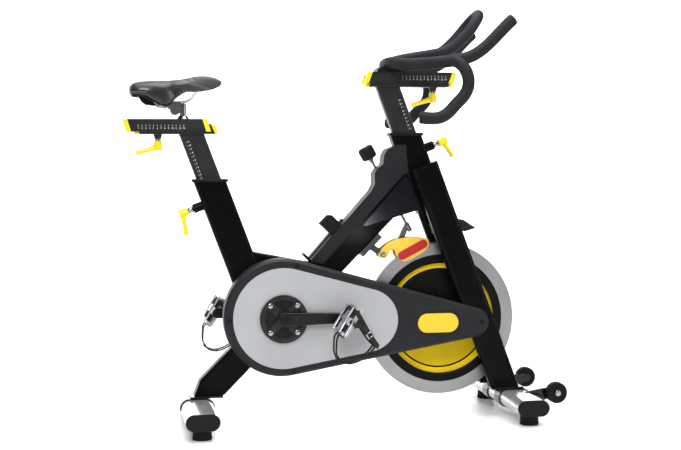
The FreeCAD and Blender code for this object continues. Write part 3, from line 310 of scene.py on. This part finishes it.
def spider_metal():
    """Black crank spider: satin four-armed cross over near-black pockets, the near-black being painted
    shade in the recesses.
    """
    s = Shader("crank_spider", (0.008, 0.008, 0.009), 0.3, metallic=0.1, coat=0.1, specular=0.3)
    hub = joint_point("crank_spin")
    r = s.radius(hub.x, hub.z)
    across = s.math("ABSOLUTE", s.math("SUBTRACT", s.axis(0), hub.x))
    upright = s.math("ABSOLUTE", s.math("SUBTRACT", s.axis(2), hub.z))
    off_arm = s.math("GREATER_THAN", s.math("ABSOLUTE", s.math("SUBTRACT", across, upright)), ARM_REACH)
    ring = s.math("MULTIPLY", s.math("GREATER_THAN", r, POCKET_INNER), s.math("LESS_THAN", r, POCKET_OUTER))
    pocket = s.math("MULTIPLY", off_arm, ring)
    grain = s.mix(s.remap(s.noise(40, 4), 0.3, 0.7), (0.008, 0.008, 0.009), (0.018, 0.018, 0.02))
    # the pockets' near-black colour is painted shade in the recesses
    s.colour(s.mix(pocket, grain, (0.0008, 0.0008, 0.001)))
    satin = s.remap(s.noise(30, 4), 0.3, 0.7, 0.24, 0.36)
    s.rough(s.math("ADD", s.math("MULTIPLY", pocket, 0.4), satin))
    s.bump(s.math("SUBTRACT", 1.0, pocket), 0.0015, 0.8)
    s.bump(s.noise(420, 2), 0.0001, 0.3)
    return s.material


def webbing(name, base):
    """Flat woven strap."""
    s = Shader(name, base, 0.75, specular=0.3)
    wave = s.add("ShaderNodeTexWave", wave_type="BANDS", bands_direction="DIAGONAL")
    wave.inputs["Scale"].default_value = 260
    wave.inputs["Distortion"].default_value = 1.5
    s.link(s.coord, wave.inputs["Vector"])
    weave = wave.outputs["Fac"]
    s.colour(s.mix(weave, tone(base, 0.6), tone(base, 1.5)))
    s.bump(weave, 0.0004, 0.7)
    s.bump(s.noise(1200, 3), 0.0002, 0.4)
    return s.material


BLACK = painted("frame_black", (0.0028, 0.0028, 0.0033), 0.3, 0.06, (0.04, 0.04, 0.042),
                specular=0.15, ior=1.25)
# the faint blue in the gusset's colour is a painted reflection of a navy cast on its glossy face
GUSSET = painted("gusset_black", (0.003, 0.0036, 0.007), 0.12, 0.22, (0.05, 0.05, 0.055), specular=0.3)
POST = painted("post_grey", (0.018, 0.018, 0.02), 0.36, 0.05, (0.12, 0.12, 0.12), specular=0.25)
SILVER = painted("silver_paint", (0.5, 0.5, 0.51), 0.2, 0.3, (0.7, 0.7, 0.7), metallic=0.6)
GUARD = moulded("guard_plastic", (0.0135, 0.0145, 0.0165), 0.48, specular=0.22)
COWL = moulded("cowl_plastic", (0.012, 0.0125, 0.0142), 0.5, grain=900, depth=0.0002, specular=0.22)
PANEL = moulded("panel_grey", (0.405, 0.413, 0.425), 0.42, 1700, 0.00008, coat=0.05, vary=0.025)
YELLOW = moulded("yellow_plastic", (0.95, 0.7, 0.003), 0.34, 1500, 0.00007, coat=0.15, vary=0.04)
BADGE = moulded("badge_yellow", (0.86, 0.56, 0.02), 0.34, 1800, 0.00006, coat=0.12, vary=0.03)
ARM_YELLOW = moulded("brake_yellow", (0.84, 0.56, 0.05), 0.4, depth=0.0001, coat=0.05)
RED = moulded("brake_red", (0.5, 0.006, 0.016), 0.3, 1500, 0.00006, coat=0.15)
PLASTIC = moulded("black_plastic", (0.006, 0.006, 0.0066), 0.42, specular=0.18)
DARK_METAL = painted("crank_black", (0.006, 0.006, 0.0065), 0.28, 0.1, (0.2, 0.2, 0.21),
                     metallic=0.1, specular=0.25)
RUBBER = rubber("black_rubber", (0.007, 0.007, 0.0075), 0.7)
GRIP = rubber("grip_rubber", (0.0145, 0.0152, 0.0175), 0.6, 900)
BELT = rubber("belt_rubber", (0.012, 0.012, 0.012), 0.75)
BOLT = steel("bolt_steel", (0.1, 0.1, 0.105), 0.36)
SCREW = painted("screw_black", (0.004, 0.004, 0.0045), 0.3, 0.05, (0.04, 0.04, 0.042), specular=0.2)
CHROME = steel("bright_steel", (0.4, 0.4, 0.41), 0.16, (60, 60, 60), 6.0)
ROD = steel("rod_steel", (0.17, 0.17, 0.175), 0.24, (60, 60, 60), 6.0)
ALLOY = steel("pedal_alloy", (0.56, 0.56, 0.58), 0.34, (300, 60, 300), 2.0)
PULLEY = steel("pulley_alloy", (0.4, 0.4, 0.41), 0.38)
WHEEL_IRON = flywheel_iron()
SPIDER = spider_metal()
SADDLE = saddle_cover_leather()
THREAD = webbing("seam_thread", (0.26, 0.16, 0.065))
STRAP = webbing("strap_webbing", (0.014, 0.014, 0.015))
WHITE = moulded("scale_white", (0.78, 0.78, 0.77), 0.5, 2000, 0.00003)
STRIP = moulded("scale_strip", (0.006, 0.006, 0.007), 0.5, 1500, 0.00004)

LOOKS = {
    "rear_stabilizer": SILVER, "front_stabilizer": SILVER, "stabilizer_end_caps": PLASTIC,
    "main_tube": BLACK, "seat_tube": BLACK, "strut_tube": BLACK, "head_tube": BLACK,
    "fork_legs": BLACK, "frame_plates": GUSSET, "guard_outer": GUARD, "guard_inner": GUARD,
    "guard_panel": PANEL, "guard_badge": BADGE, "down_tube_cover": COWL, "bottle_cage": PLASTIC,
    "tube_collars": PLASTIC, "brake_bracket": BOLT, "frame_bolts": SCREW, "drive_belt": BELT,
    "sweat_guard": COWL, "flywheel": WHEEL_IRON, "flywheel_pulley": PULLEY, "crank_spindle": CHROME,
    "drive_pulley": PULLEY, "crank_spider": SPIDER, "crank_arm_right": DARK_METAL,
    "crank_arm_left": DARK_METAL, "pedal_body_right": ALLOY, "pedal_body_left": ALLOY,
    "toe_clip_right": PLASTIC, "toe_clip_left": PLASTIC, "seat_post": POST, "seat_rail_caps": YELLOW,
    "seat_slider": POST, "seat_slider_caps": YELLOW, "saddle_pillar": CHROME, "saddle_rails": CHROME,
    "saddle_shell": PLASTIC, "saddle_cushion": SADDLE, "bar_post": POST, "bar_rail_caps": YELLOW,
    "bar_slider": POST, "bar_slider_caps": YELLOW, "handlebar_clamp": PLASTIC, "handlebar_arms": GRIP,
    "handlebar_drops": GRIP, "seat_lever": YELLOW, "bar_lever": YELLOW, "seat_post_lever": YELLOW,
    "bar_post_lever": YELLOW, "knob_rod": ROD, "tension_knob": PLASTIC, "brake_arm": ARM_YELLOW,
    "brake_insert": RED, "transport_wheel_right": RUBBER, "transport_wheel_left": RUBBER,
    "foot_rear_right": RUBBER, "foot_rear_left": RUBBER, "foot_front_right": RUBBER,
    "foot_front_left": RUBBER,
}
for node_name, look in LOOKS.items():
    mesh = NODES[node_name].data
    mesh.materials.clear()
    mesh.materials.append(look)


# ---- mesh helpers ------------------------------------------------------------------------
def add_mesh(name, verts, faces, look):
    """A smooth-shaded object in the scene."""
    mesh = bpy.data.meshes.new(name)
    mesh.from_pydata([tuple(v) for v in verts], [], faces)
    mesh.materials.append(look)
    mesh.shade_smooth()
    mesh.update()
    piece = bpy.data.objects.new(name, mesh)
    bpy.context.scene.collection.objects.link(piece)
    return piece


def join_meshes(name, chunks, look):
    """One object from several (verts, faces) chunks."""
    verts, faces = [], []
    for more_verts, more_faces in chunks:
        base = len(verts)
        verts += [tuple(v) for v in more_verts]
        faces += [tuple(base + i for i in face) for face in more_faces]
    return add_mesh(name, verts, faces, look)


def skin(rings, sides):
    """Faces over rings of vertices that follow one another, with a cap at each end."""
    faces = []
    for i in range(rings - 1):
        for k in range(sides):
            after = (k + 1) % sides
            faces.append((i * sides + k, i * sides + after, (i + 1) * sides + after, (i + 1) * sides + k))
    faces.append(tuple(reversed(range(sides))))
    faces.append(tuple(range((rings - 1) * sides, rings * sides)))
    return faces


def heading(points, i):
    """Direction of a path at one of its points."""
    return (points[min(i + 1, len(points) - 1)] - points[max(i - 1, 0)]).normalized()


def oval(lip, shoulder):
    """Flat eight-sided section, as shares of its width and thickness."""
    return [(-0.5, -lip), (-shoulder, -0.5), (shoulder, -0.5), (0.5, -lip),
            (0.5, lip), (shoulder, 0.5), (-shoulder, 0.5), (-0.5, lip)]


def tube_along(points, radius, sides):
    """Round tube chunk through points, with capped ends."""
    points = [Vector(p) for p in points]
    side_axis = heading(points, 0).orthogonal().normalized()
    verts = []
    for i, p in enumerate(points):
        tangent = heading(points, i)
        side_axis = (side_axis - tangent * side_axis.dot(tangent)).normalized()
        other = tangent.cross(side_axis)
        for k in range(sides):
            a = 2 * math.pi * k / sides
            verts.append(p + (side_axis * math.cos(a) + other * math.sin(a)) * radius)
    return verts, skin(len(points), sides)


def band_along(points, across, width, thick):
    """Flat bar chunk through points, with its width along one fixed direction."""
    points = [Vector(p) for p in points]
    across = Vector(across).normalized()
    section = oval(0.2, 0.46)
    verts = []
    for i, p in enumerate(points):
        lift = heading(points, i).cross(across).normalized()
        verts += [p + across * (u * width) + lift * (v * thick) for u, v in section]
    return verts, skin(len(points), len(section))


def strap_along(points, hint):
    """Webbing strap chunk through points; its width follows the hint, square to the path."""
    hint = Vector(hint).normalized()
    section = oval(0.25, 0.44)
    verts = []
    for i, p in enumerate(points):
        tangent = heading(points, i)
        across = (hint - tangent * hint.dot(tangent)).normalized()
        lift = tangent.cross(across)
        verts += [p + across * (u * STRAP_WIDTH) + lift * (v * STRAP_THICK) for u, v in section]
    return verts, skin(len(points), len(section))


def spline(points, steps):
    """Catmull-Rom samples through the points."""
    pts = [Vector(p) for p in points]
    ends = [pts[0] * 2 - pts[1]] + pts + [pts[-1] * 2 - pts[-2]]
    out = []
    for i in range(1, len(ends) - 2):
        p0, p1, p2, p3 = ends[i - 1], ends[i], ends[i + 1], ends[i + 2]
        for s in range(steps):
            t = s / steps
            out.append(0.5 * ((2 * p1) + (p2 - p0) * t + (2 * p0 - 5 * p1 + 4 * p2 - p3) * t * t
                              + (3 * p1 - p0 - 3 * p2 + p3) * t * t * t))
    out.append(pts[-1])
    return out


def lathe(profile, centre, axis, sides=40):
    """Turned chunk: profile is (along, radius) pairs from one end to the other."""
    axis = Vector(axis).normalized()
    u = axis.orthogonal().normalized()
    v = axis.cross(u)
    centre = Vector(centre)
    verts = []
    for along, radius in profile:
        for k in range(sides):
            a = 2 * math.pi * k / sides
            verts.append(centre + axis * along + (u * math.cos(a) + v * math.sin(a)) * radius)
    return verts, skin(len(profile), sides)


def slab(centre, u, v, w, lu, lv, lw):
    """Small block chunk with bevelled edges; u, v and w are the directions of its three sizes."""
    c, u, v, w = Vector(centre), Vector(u).normalized(), Vector(v).normalized(), Vector(w).normalized()
    bm = bmesh.new()
    bmesh.ops.create_cube(bm, size=1.0)
    for vert in bm.verts:
        x, y, z = vert.co
        vert.co = c + u * (x * lu) + v * (y * lv) + w * (z * lw)
    bmesh.ops.bevel(bm, geom=bm.edges[:], offset=min(lu, lv, lw) * 0.2, segments=2, affect="EDGES")
    bm.verts.ensure_lookup_table()
    bm.verts.index_update()
    verts = [vert.co.copy() for vert in bm.verts]
    faces = [tuple(x.index for x in f.verts) for f in bm.faces]
    bm.free()
    return verts, faces


# ---- saddle ------------------------------------------------------------------------------
SADDLE_VOXEL = 0.004
CLOTH_STEPS = 20
PUFF_LIMIT = 0.005              # how far the cloth may move a point of the cover
RAY_START = 0.3                 # Y outside the saddle, where lines are thrown onto it from
# Seam lines on the cover's sides, in mm back from the nose and down from the top.
UPPER_SEAM = [(255, 33), (242, 27.5), (207, 25), (172, 24), (137, 22), (109, 21), (87, 23.5), (67, 28),
              (49, 33), (37, 35.5)]
LOWER_SEAM = [(258, 45.5), (245, 47.5), (229, 48), (213, 49.5)]
PIPING_R, STITCH_R = 0.0006, 0.0004
STITCH_PITCH, STITCH_HALF = 0.0045, 0.0014
STITCH_DROP = 0.0032            # how far the stitches run below the seam
STITCH_LIFT = 0.0006            # how far they stand off the cover


def padded_saddle():
    """The cushion solid, remeshed, smoothed and then blown up a little as cloth."""
    source = NODES["saddle_cushion"]
    cover = bpy.data.objects.new("saddle_cover", source.data.copy())
    bpy.context.scene.collection.objects.link(cover)
    bpy.context.view_layer.objects.active = cover
    for other in bpy.context.selected_objects:
        other.select_set(False)
    cover.select_set(True)
    remesh = cover.modifiers.new("remesh", "REMESH")
    remesh.mode = "VOXEL"
    remesh.voxel_size = SADDLE_VOXEL
    smooth = cover.modifiers.new("smooth", "SMOOTH")
    smooth.factor = 0.5
    smooth.iterations = 4
    for name in ("remesh", "smooth"):
        bpy.ops.object.modifier_apply(modifier=name)
    rest = [v.co.copy() for v in cover.data.vertices]
    cloth = cover.modifiers.new("cloth", "CLOTH")
    cloth.settings.quality = 5
    cloth.settings.use_pressure = True
    cloth.settings.uniform_pressure_force = 4
    cloth.settings.effector_weights.gravity = 0
    cloth.point_cache.frame_start = 1
    cloth.point_cache.frame_end = CLOTH_STEPS
    for step in range(1, CLOTH_STEPS + 1):
        bpy.context.scene.frame_set(step)
    bpy.ops.object.modifier_apply(modifier="cloth")
    bpy.context.scene.frame_set(1)
    for vert, home in zip(cover.data.vertices, rest):
        move = vert.co - home
        if move.length > PUFF_LIMIT:
            vert.co = home + move * (PUFF_LIMIT / move.length)
    subdivide = cover.modifiers.new("subdivide", "SUBSURF")
    subdivide.levels = 1
    subdivide.render_levels = 1
    bpy.ops.object.modifier_apply(modifier="subdivide")
    cover.data.materials.clear()
    cover.data.materials.append(SADDLE)
    cover.data.shade_smooth()
    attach(cover, "saddle")
    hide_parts("saddle_cushion")
    return cover


def surface_points(tree, line, side):
    """Points of a side-view line (x, z) thrown sideways onto a surface, with their normals."""
    found = []
    for x, z in line:
        hit, normal, _, _ = tree.ray_cast(Vector((x, side * RAY_START, z)), Vector((0, -side, 0)))
        if hit is not None:
            found.append((hit, normal))
    return found


def stitch_row(points):
    """Short threads at even steps along a seam, just below it."""
    chunks, travelled, last = [], 0.0, points[0][0]
    for p, n in points[1:]:
        travelled += (p - last).length
        if travelled > STITCH_PITCH and (p - last).length > 1e-5:
            along = (p - last).normalized()
            centre = p + n * STITCH_LIFT - Vector((0, 0, STITCH_DROP))
            thread = (centre - along * STITCH_HALF, centre, centre + along * STITCH_HALF)
            chunks.append(tube_along(thread, STITCH_R, 6))
            travelled = 0.0
        last = p
    return chunks


def saddle_seams(cover):
    """Piping along both seams of the cover, and stitches under the upper one."""
    tree = BVHTree.FromPolygons([v.co for v in cover.data.vertices],
                                [p.vertices for p in cover.data.polygons])
    nose, _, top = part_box("saddle_cushion")[1]
    piping, stitches = [], []
    for side in (-1, 1):
        for seam in (UPPER_SEAM, LOWER_SEAM):
            line = [(nose - back / 1000, 0, top - down / 1000) for back, down in seam]
            flat = [(p.x, p.z) for p in spline(line, 10)]
            points = surface_points(tree, flat, side)
            piping.append(tube_along([p for p, n in points], PIPING_R, 8))
            if seam is UPPER_SEAM:
                stitches += stitch_row(points)
    trim = join_meshes("saddle_piping", piping, THREAD)
    thread = join_meshes("saddle_stitches", stitches, THREAD)
    for piece in (trim, thread):
        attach(piece, "saddle")


# ---- scales on the posts and sliders -----------------------------------------------------
DIGIT_SIZE = 0.0068
DIGIT_EXTRUDE = 0.00006
TICK_THICK, TICK_WIDTH = 0.00012, 0.0008
STRIP_THICK, STRIP_WIDTH = 0.00008, 0.0115
SLIDER_PRINT, STRIP_PRINT = -0.00006, -0.00007  # how far the print stands outside its face, along Y
SLIDER_MARKS = 13
POST_PITCH = 0.0108
# Slider, first number from its rear end, step between numbers, height of the numbers.
SLIDER_SCALES = (("seat_slider", 0.0305, 0.01038, 0.0086), ("bar_slider", 0.100, 0.0105, 0.0112))
# Post, joint of its clamp lever, how many numbers, the first one's place up the tube, shift to the side.
POST_SCALES = (("seat_post", "seat_post_lever_turn", 11, 0.073, -0.0165),
               ("bar_post", "bar_post_lever_turn", 9, 0.0695, 0.0155))


def numeral(text, place, right, up):
    """Flat printed number as a thin mesh; right and up give its reading directions."""
    data = bpy.data.curves.new("numeral", "FONT")
    data.body = text
    data.size = DIGIT_SIZE
    data.align_x = "CENTER"
    data.align_y = "CENTER"
    data.extrude = DIGIT_EXTRUDE
    holder = bpy.data.objects.new("numeral_text", data)
    bpy.context.scene.collection.objects.link(holder)
    bpy.context.view_layer.update()
    mesh = bpy.data.meshes.new_from_object(holder.evaluated_get(bpy.context.evaluated_depsgraph_get()))
    bpy.data.objects.remove(holder)
    basis = Matrix((right, up, right.cross(up))).transposed().to_4x4()
    mesh.transform(Matrix.Translation(place) @ basis)
    return mesh


def scale_marks(name, count, start, step, right, up, tick, body):
    """A row of numbers with a tick beside each, printed on a flat side face."""
    chunks = []
    out = right.cross(up)
    offset, length, across = tick
    for k in range(count):
        place = start + step * k
        mesh = numeral(str(k + 1), place, right, up)
        chunks.append(([v.co.copy() for v in mesh.vertices], [tuple(p.vertices) for p in mesh.polygons]))
        bpy.data.meshes.remove(mesh)
        chunks.append(slab(place + offset, across, out, across.cross(out), length, TICK_THICK, TICK_WIDTH))
    piece = join_meshes(name, chunks, WHITE)
    for polygon in piece.data.polygons:
        polygon.use_smooth = False
    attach(piece, body)


def strip_behind(name, start, step, count, over, body):
    """Dark printed band under a row of marks."""
    run = step * count
    centre = start + step * ((count - 1) / 2)
    outward = over.normalized().cross(run.normalized())
    band = slab(centre, over, outward, run, STRIP_WIDTH, STRIP_THICK, run.length)
    piece = join_meshes(name, [band], STRIP)
    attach(piece, body)


def all_scales():
    """Numbers on the sliders' sides, and on a dark strip up each post."""
    along, upright = Vector((1, 0, 0)), Vector((0, 0, 1))
    for node, first, pitch, height in SLIDER_SCALES:
        start = Vector(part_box(node)[0]) + Vector((first, SLIDER_PRINT, height))
        scale_marks(node + "_scale", SLIDER_MARKS, start, along * pitch, along, upright,
                    (upright * 0.0078, 0.0045, upright), node)
    for node, lever, count, first, shift in POST_SCALES:
        up = joint_axis(node.replace("post", "height"))
        over = Vector((up.z, 0, -up.x))
        step = up * POST_PITCH
        start = tube_point(lever) + up * first + over * shift + Vector((0, POST_SIDE, 0))
        strip_behind(node + "_strip", start, step, count, over, node)
        scale_marks(node + "_scale", count, start + Vector((0, STRIP_PRINT, 0)), step, over, up,
                    (over * math.copysign(0.0052, shift), 0.0026, over), node)


# ---- small fittings ----------------------------------------------------------------------
def fitting(name, chunks, look, body):
    """One piece from several chunks, which rides on a body."""
    piece = join_meshes(name, chunks, look)
    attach(piece, body)


def domed(radius, height):
    """Bolt head outline: (along, radius) pairs."""
    return [(0, radius), (height * 0.45, radius), (height * 0.8, radius * 0.86), (height, radius * 0.5)]


def spider_bolts():
    """Bright heads of the four bolts that hold the spider."""
    low, high = (Vector(c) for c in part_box("crank_spindle"))
    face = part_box("crank_spider")[0][1]
    centre = joint_point("crank_spin")
    reach = (high.x - low.x) / 2 - 0.005
    chunks = []
    for i in (-1, 1):
        for k in (-1, 1):
            place = (centre.x + i * reach, face - 0.0012, centre.z + k * reach)
            chunks.append(lathe(domed(0.0072, 0.0028), place, (0, -1, 0), 24))
    fitting("spider_bolts", chunks, CHROME, "crank")


def pedal_windows(side, word):
    """Dark reflector windows and two raised rims on both long faces of a pedal."""
    lengthways, upwards = pedal_way(side, 1, 0, 0), pedal_way(side, 0, 0, 1)
    rims, windows = [], []
    for y in (-45.6, 45.6):
        for u in (-23, 21):
            centre = pedal_point(side, u, y, -9)
            windows.append(slab(centre, lengthways, (0, 1, 0), upwards, 0.022, 0.0012, 0.012))
        for v in (-18, 1):
            centre = pedal_point(side, 0, y, v)
            rims.append(slab(centre, lengthways, (0, 1, 0), upwards, 0.078, 0.0022, 0.0042))
    fitting("pedal_windows_" + word, windows, PLASTIC, "pedal_" + word)
    fitting("pedal_rims_" + word, rims, ALLOY, "pedal_" + word)


def dust_caps():
    """Black caps in the ends of the crank spindle."""
    low, high = (Vector(c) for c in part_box("crank_spindle"))
    centre = joint_point("crank_spin")
    chunks = []
    for y, way in ((low.y + 0.003, -1), (high.y - 0.003, 1)):
        outline = [(0, 0.0118), (0.003, 0.0118), (0.0036, 0.0105), (0.0032, 0.006), (0.0038, 0.005)]
        chunks.append(lathe(outline, (centre.x, y, centre.z), (0, way, 0)))
    fitting("crank_dust_caps", chunks, PLASTIC, "crank")


def lever_rings():
    """Bright sleeves between each black boss and its lever's hub."""
    tube = [(-0.0245, 0.0075), (-0.0235, 0.0083), (-0.010, 0.0083), (-0.009, 0.0075)]
    for name, lever in (("seat_tube", "seat_post_lever_turn"), ("head_tube", "bar_post_lever_turn")):
        ring = [lathe(tube, joint_point(lever), joint_axis(lever))]
        fitting(name + "_ring", ring, CHROME, "frame")
    rail = [(0.0003, 0.0078), (0.0012, 0.0086), (0.0044, 0.0086), (0.0054, 0.0078)]
    for body, lever in (("seat_post", "seat_lever"), ("bar_post", "bar_lever")):
        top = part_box(lever)[1][2]
        point = joint_point(lever + "_turn")
        fitting(body + "_ring", [lathe(rail, (point.x, 0, top), (0, 0, 1))], CHROME, body)


def knob_cap():
    """Bright disc let into the end of the tension knob."""
    centre, axis = joint_point("tension_turn"), joint_axis("tension_turn")
    outline = [(0.0, 0.0125), (0.0014, 0.0125), (0.0019, 0.0115), (0.0016, 0.004)]
    cap = [lathe(outline, centre - axis * 0.0185, -axis)]
    fitting("tension_knob_cap", cap, CHROME, "tension_knob")


def pillar_boot():
    """Black cone round the foot of the saddle pillar."""
    low, high = (Vector(c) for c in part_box("saddle_pillar"))
    outline = [(0, 0.0138), (0.003, 0.0134), (0.007, 0.0105), (0.012, 0.0088), (0.0128, 0.008)]
    boot = [lathe(outline, (high.x - 0.0185, 0, low.z + 0.0002), (0, 0, 1))]
    fitting("pillar_boot", boot, PLASTIC, "seat_slider")


def brake_bolts():
    """Bright heads on both ends of the brake arm's pivot."""
    pivot = joint_point("brake_arm_swing")
    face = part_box("brake_bracket")[0][1]
    heads = [lathe(domed(0.0062, 0.0022), (pivot.x, s * abs(face), pivot.z), (0, s, 0)) for s in (-1, 1)]
    fitting("pivot_bolts", heads, CHROME, "frame")


def wheel_bolts():
    """Bright bolt heads in the middle of the transport wheels."""
    chunks = []
    for name in ("wheel_right_spin", "wheel_left_spin"):
        point = joint_point(name)
        way = math.copysign(1, point.y)
        chunks.append(lathe(domed(0.0085, 0.003), (point.x, point.y + way * 0.0152, point.z), (0, way, 0)))
    fitting("transport_wheel_bolts", chunks, CHROME, "frame")


# ---- toe clips ---------------------------------------------------------------------------
STRAP_WIDTH, STRAP_THICK = 0.0125, 0.0018
# Lines of the toe clip and its strap, in the mm that pedal_point takes.
CAGE_LINE = [(-44, -7), (-58, -7), (-76, 2), (-95, 14), (-105, 30), (-105, 48), (-97, 64), (-78, 81),
             (-50, 94), (-16, 99)]
CAGE_BARS = ((-103, 25, 21), (-97, 63, 19), (-50, 93.5, 17), (-17, 98.5, 21))   # u, v, half the width
STRAP_LOOP = [(30, 46.5, -2), (22, 48.2, 14), (6, 48.8, 42), (-8, 48.8, 70), (-17, 46, 92), (-19, 36, 101),
              (-20, 18, 103.2), (-20, 0, 103.6)]
STRAP_UNDER = [(30, 46.5, -2), (31, 44, -12.6), (31, 20, -13), (31, 0, -13)]
STRAP_TAIL = [(-4, 49.9, 62), (-2, 52, 48), (6, 54, 34), (4, 57, 20), (-6, 58, 8)]


def pedal_point(side, u, y, v):
    """A point of the level pedal (toe towards -u, tread up) where the pedal hangs."""
    centre = joint_point("pedal_right_spin" if side < 0 else "pedal_left_spin")
    c, s = math.cos(PEDAL_HANG), math.sin(PEDAL_HANG)
    return centre + Vector((u * c + v * s, -y, u * s - v * c)) / 1000


def pedal_way(side, u, y, v):
    """A direction of the level pedal, where the pedal hangs."""
    return pedal_point(side, u, y, v) - pedal_point(side, 0, 0, 0)


def both_halves(half):
    """A line that ends on the middle plane, carried on across it."""
    return half + [(u, -y, v) for u, y, v in reversed(half[:-1])]


def toe_cage(side, word):
    """Two lengthwise bars, four cross bars, and the block that bolts them to the pedal."""
    cage = []
    for y_base, y_top in ((-21, -15), (21, 15)):
        run = []
        for k, (u, v) in enumerate(CAGE_LINE):
            share = k / (len(CAGE_LINE) - 1)
            run.append(pedal_point(side, u, y_base + (y_top - y_base) * share, v))
        cage.append(band_along(spline(run, 5), (0, 1, 0), 0.010, 0.0034))
    for u, v, half in CAGE_BARS:
        bar = [pedal_point(side, u, half * t, v) for t in (-1, -0.5, 0, 0.5, 1)]
        cage.append(band_along(bar, pedal_way(side, 1, 0, 0.15), 0.009, 0.0032))
    cage.append(slab(pedal_point(side, -46, 0, 0), (0, 1, 0), pedal_way(side, 1, 0, 0),
                     pedal_way(side, 0, 0, 1), 0.046, 0.0036, 0.017))
    piece = join_meshes("toe_cage_" + word, cage, PLASTIC)
    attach(piece, "pedal_" + word)
    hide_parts("toe_clip_" + word)


def toe_strap(side, word):
    """Strap over the foot and under the pedal, with its loose tail on the outboard side."""
    tail = [(u, y * -side, v) for u, y, v in STRAP_TAIL]
    chunks = []
    for path in (both_halves(STRAP_LOOP), both_halves(STRAP_UNDER), tail):
        points = [pedal_point(side, *p) for p in path]
        chunks.append(strap_along(spline(points, 5), pedal_way(side, 1, 0, -0.25)))
    fitting("toe_strap_" + word, chunks, STRAP, "pedal_" + word)


def toe_buckle(side, word):
    """Bright frame of four bars round the strap, on the outboard side."""
    lengthways, sideways = pedal_way(side, 0.45, 0, -1), pedal_way(side, 1, 0, 0.45)
    hub = pedal_point(side, -3, -51 * side, 60)
    bars = []
    for k in (-0.5, 0.5):
        place = hub + lengthways.normalized() * k * 0.012
        bars.append(slab(place, sideways, (0, 1, 0), lengthways, 0.019, 0.0034, 0.003))
    for k in (-1, 1):
        place = hub + sideways.normalized() * k * 0.0085
        bars.append(slab(place, lengthways, (0, 1, 0), sideways, 0.015, 0.0034, 0.0024))
    fitting("toe_buckle_" + word, bars, CHROME, "pedal_" + word)


cover = padded_saddle()
saddle_seams(cover)
all_scales()
for side, word in PEDALS:
    toe_cage(side, word)
    toe_strap(side, word)
    toe_buckle(side, word)
dust_caps()
lever_rings()
knob_cap()
pillar_boot()
brake_bolts()
wheel_bolts()
spider_bolts()
for side, word in PEDALS:
    pedal_windows(side, word)


# ---- stage, light and camera -------------------------------------------------------------
FLOOR_HALF, FLOOR_FRONT = 14, -9.0
SWEEP_START, SWEEP_R, WALL_TOP = 4.0, 3.0, 9.0
WORLD_STRENGTH = 0.2
LIGHTS = (                      # name, place, target, width, height, power
    ("key", (-1.4, -3.2, 3.0), (0, 0, 0.5), 1.4, 1.4, 90),
    ("side_strip", (3.0, -1.8, 1.5), (0.1, 0, 0.6), 0.45, 2.2, 30),
    ("top", (0.2, 0.3, 3.4), (0, 0, 0.4), 2.0, 2.0, 70),
    ("rim", (-3.0, 2.0, 1.8), (0, 0, 0.6), 0.4, 2.0, 12),
    ("gusset_card", (0.7, -3.4, 0.37), (0.03, 0, 0.55), 0.14, 0.13, 0.9),
    ("backdrop_low", (0, 3.6, 3.4), (0, 6.2, 0.8), 9.0, 1.0, 520),
    ("floor_wash", (0, -1.0, 4.2), (0, 0.4, 0), 5.0, 3.0, 120),
)
CAMERA_PLACE = (-0.6585, -3.4894, 0.7287)
AZIMUTH, ELEVATION, ROLL = -0.1841, 0.0483, -0.0063     # radians
SENSOR_MM, LENS_MM = 36.0, 65.3868


def stage_floor():
    """Pale floor that curves up into a backdrop behind the bike."""
    rows = [(FLOOR_FRONT, 0.0), (0.0, 0.0), (SWEEP_START, 0.0)]
    for degrees in range(9, 91, 9):
        a = math.radians(degrees)
        rows.append((SWEEP_START + SWEEP_R * math.sin(a), SWEEP_R - SWEEP_R * math.cos(a)))
    rows.append((SWEEP_START + SWEEP_R, WALL_TOP))
    verts, faces = [], []
    for y, z in rows:
        verts += [(-FLOOR_HALF, y, z), (FLOOR_HALF, y, z)]
    for i in range(len(rows) - 1):
        faces.append((2 * i, 2 * i + 1, 2 * i + 3, 2 * i + 2))
    s = Shader("studio_floor", (0.93, 0.93, 0.93), 0.32)
    s.rough(s.remap(s.noise(3, 3), 0.3, 0.7, 0.28, 0.38))
    s.colour(s.mix(s.noise(2, 3), (0.92, 0.92, 0.92), (0.95, 0.95, 0.95)))
    floor = add_mesh("studio_floor", verts, faces, s.material)


def area_light(name, place, target, width, height, power):
    """Rectangular lamp at a place, turned to a target."""
    data = bpy.data.lights.new(name, "AREA")
    data.shape = "RECTANGLE"
    data.size = width
    data.size_y = height
    data.energy = power
    lamp = bpy.data.objects.new(name, data)
    bpy.context.scene.collection.objects.link(lamp)
    lamp.location = place
    lamp.rotation_euler = (Vector(target) - Vector(place)).to_track_quat("-Z", "Y").to_euler()


def photo_camera():
    """Camera at the photo's viewpoint, turned by its azimuth, elevation and roll."""
    level = math.cos(ELEVATION)
    back = Vector((math.sin(AZIMUTH) * level, -math.cos(AZIMUTH) * level, math.sin(ELEVATION)))
    right = (-back).cross(Vector((0, 0, 1))).normalized()
    up = right.cross(-back)
    rolled_right = right * math.cos(ROLL) + up * math.sin(ROLL)
    rolled_up = -right * math.sin(ROLL) + up * math.cos(ROLL)
    data = bpy.data.cameras.new("photo_camera")
    data.sensor_width = SENSOR_MM
    data.lens = LENS_MM
    data.clip_end = 60
    camera = bpy.data.objects.new("photo_camera", data)
    bpy.context.scene.collection.objects.link(camera)
    camera.matrix_world = Matrix((rolled_right, rolled_up, back)).transposed().to_4x4()
    camera.location = CAMERA_PLACE
    bpy.context.scene.camera = camera


stage_floor()
world = bpy.data.worlds.new("studio")
world.use_nodes = True
background = world.node_tree.nodes["Background"]
background.inputs["Color"].default_value = (1.0, 1.0, 1.0, 1)
background.inputs["Strength"].default_value = WORLD_STRENGTH
bpy.context.scene.world = world
for light in LIGHTS:
    area_light(*light)
photo_camera()
bpy.context.scene.view_settings.view_transform = "Standard"
bpy.context.scene.view_settings.look = "None"

bpy.context.view_layer.update()
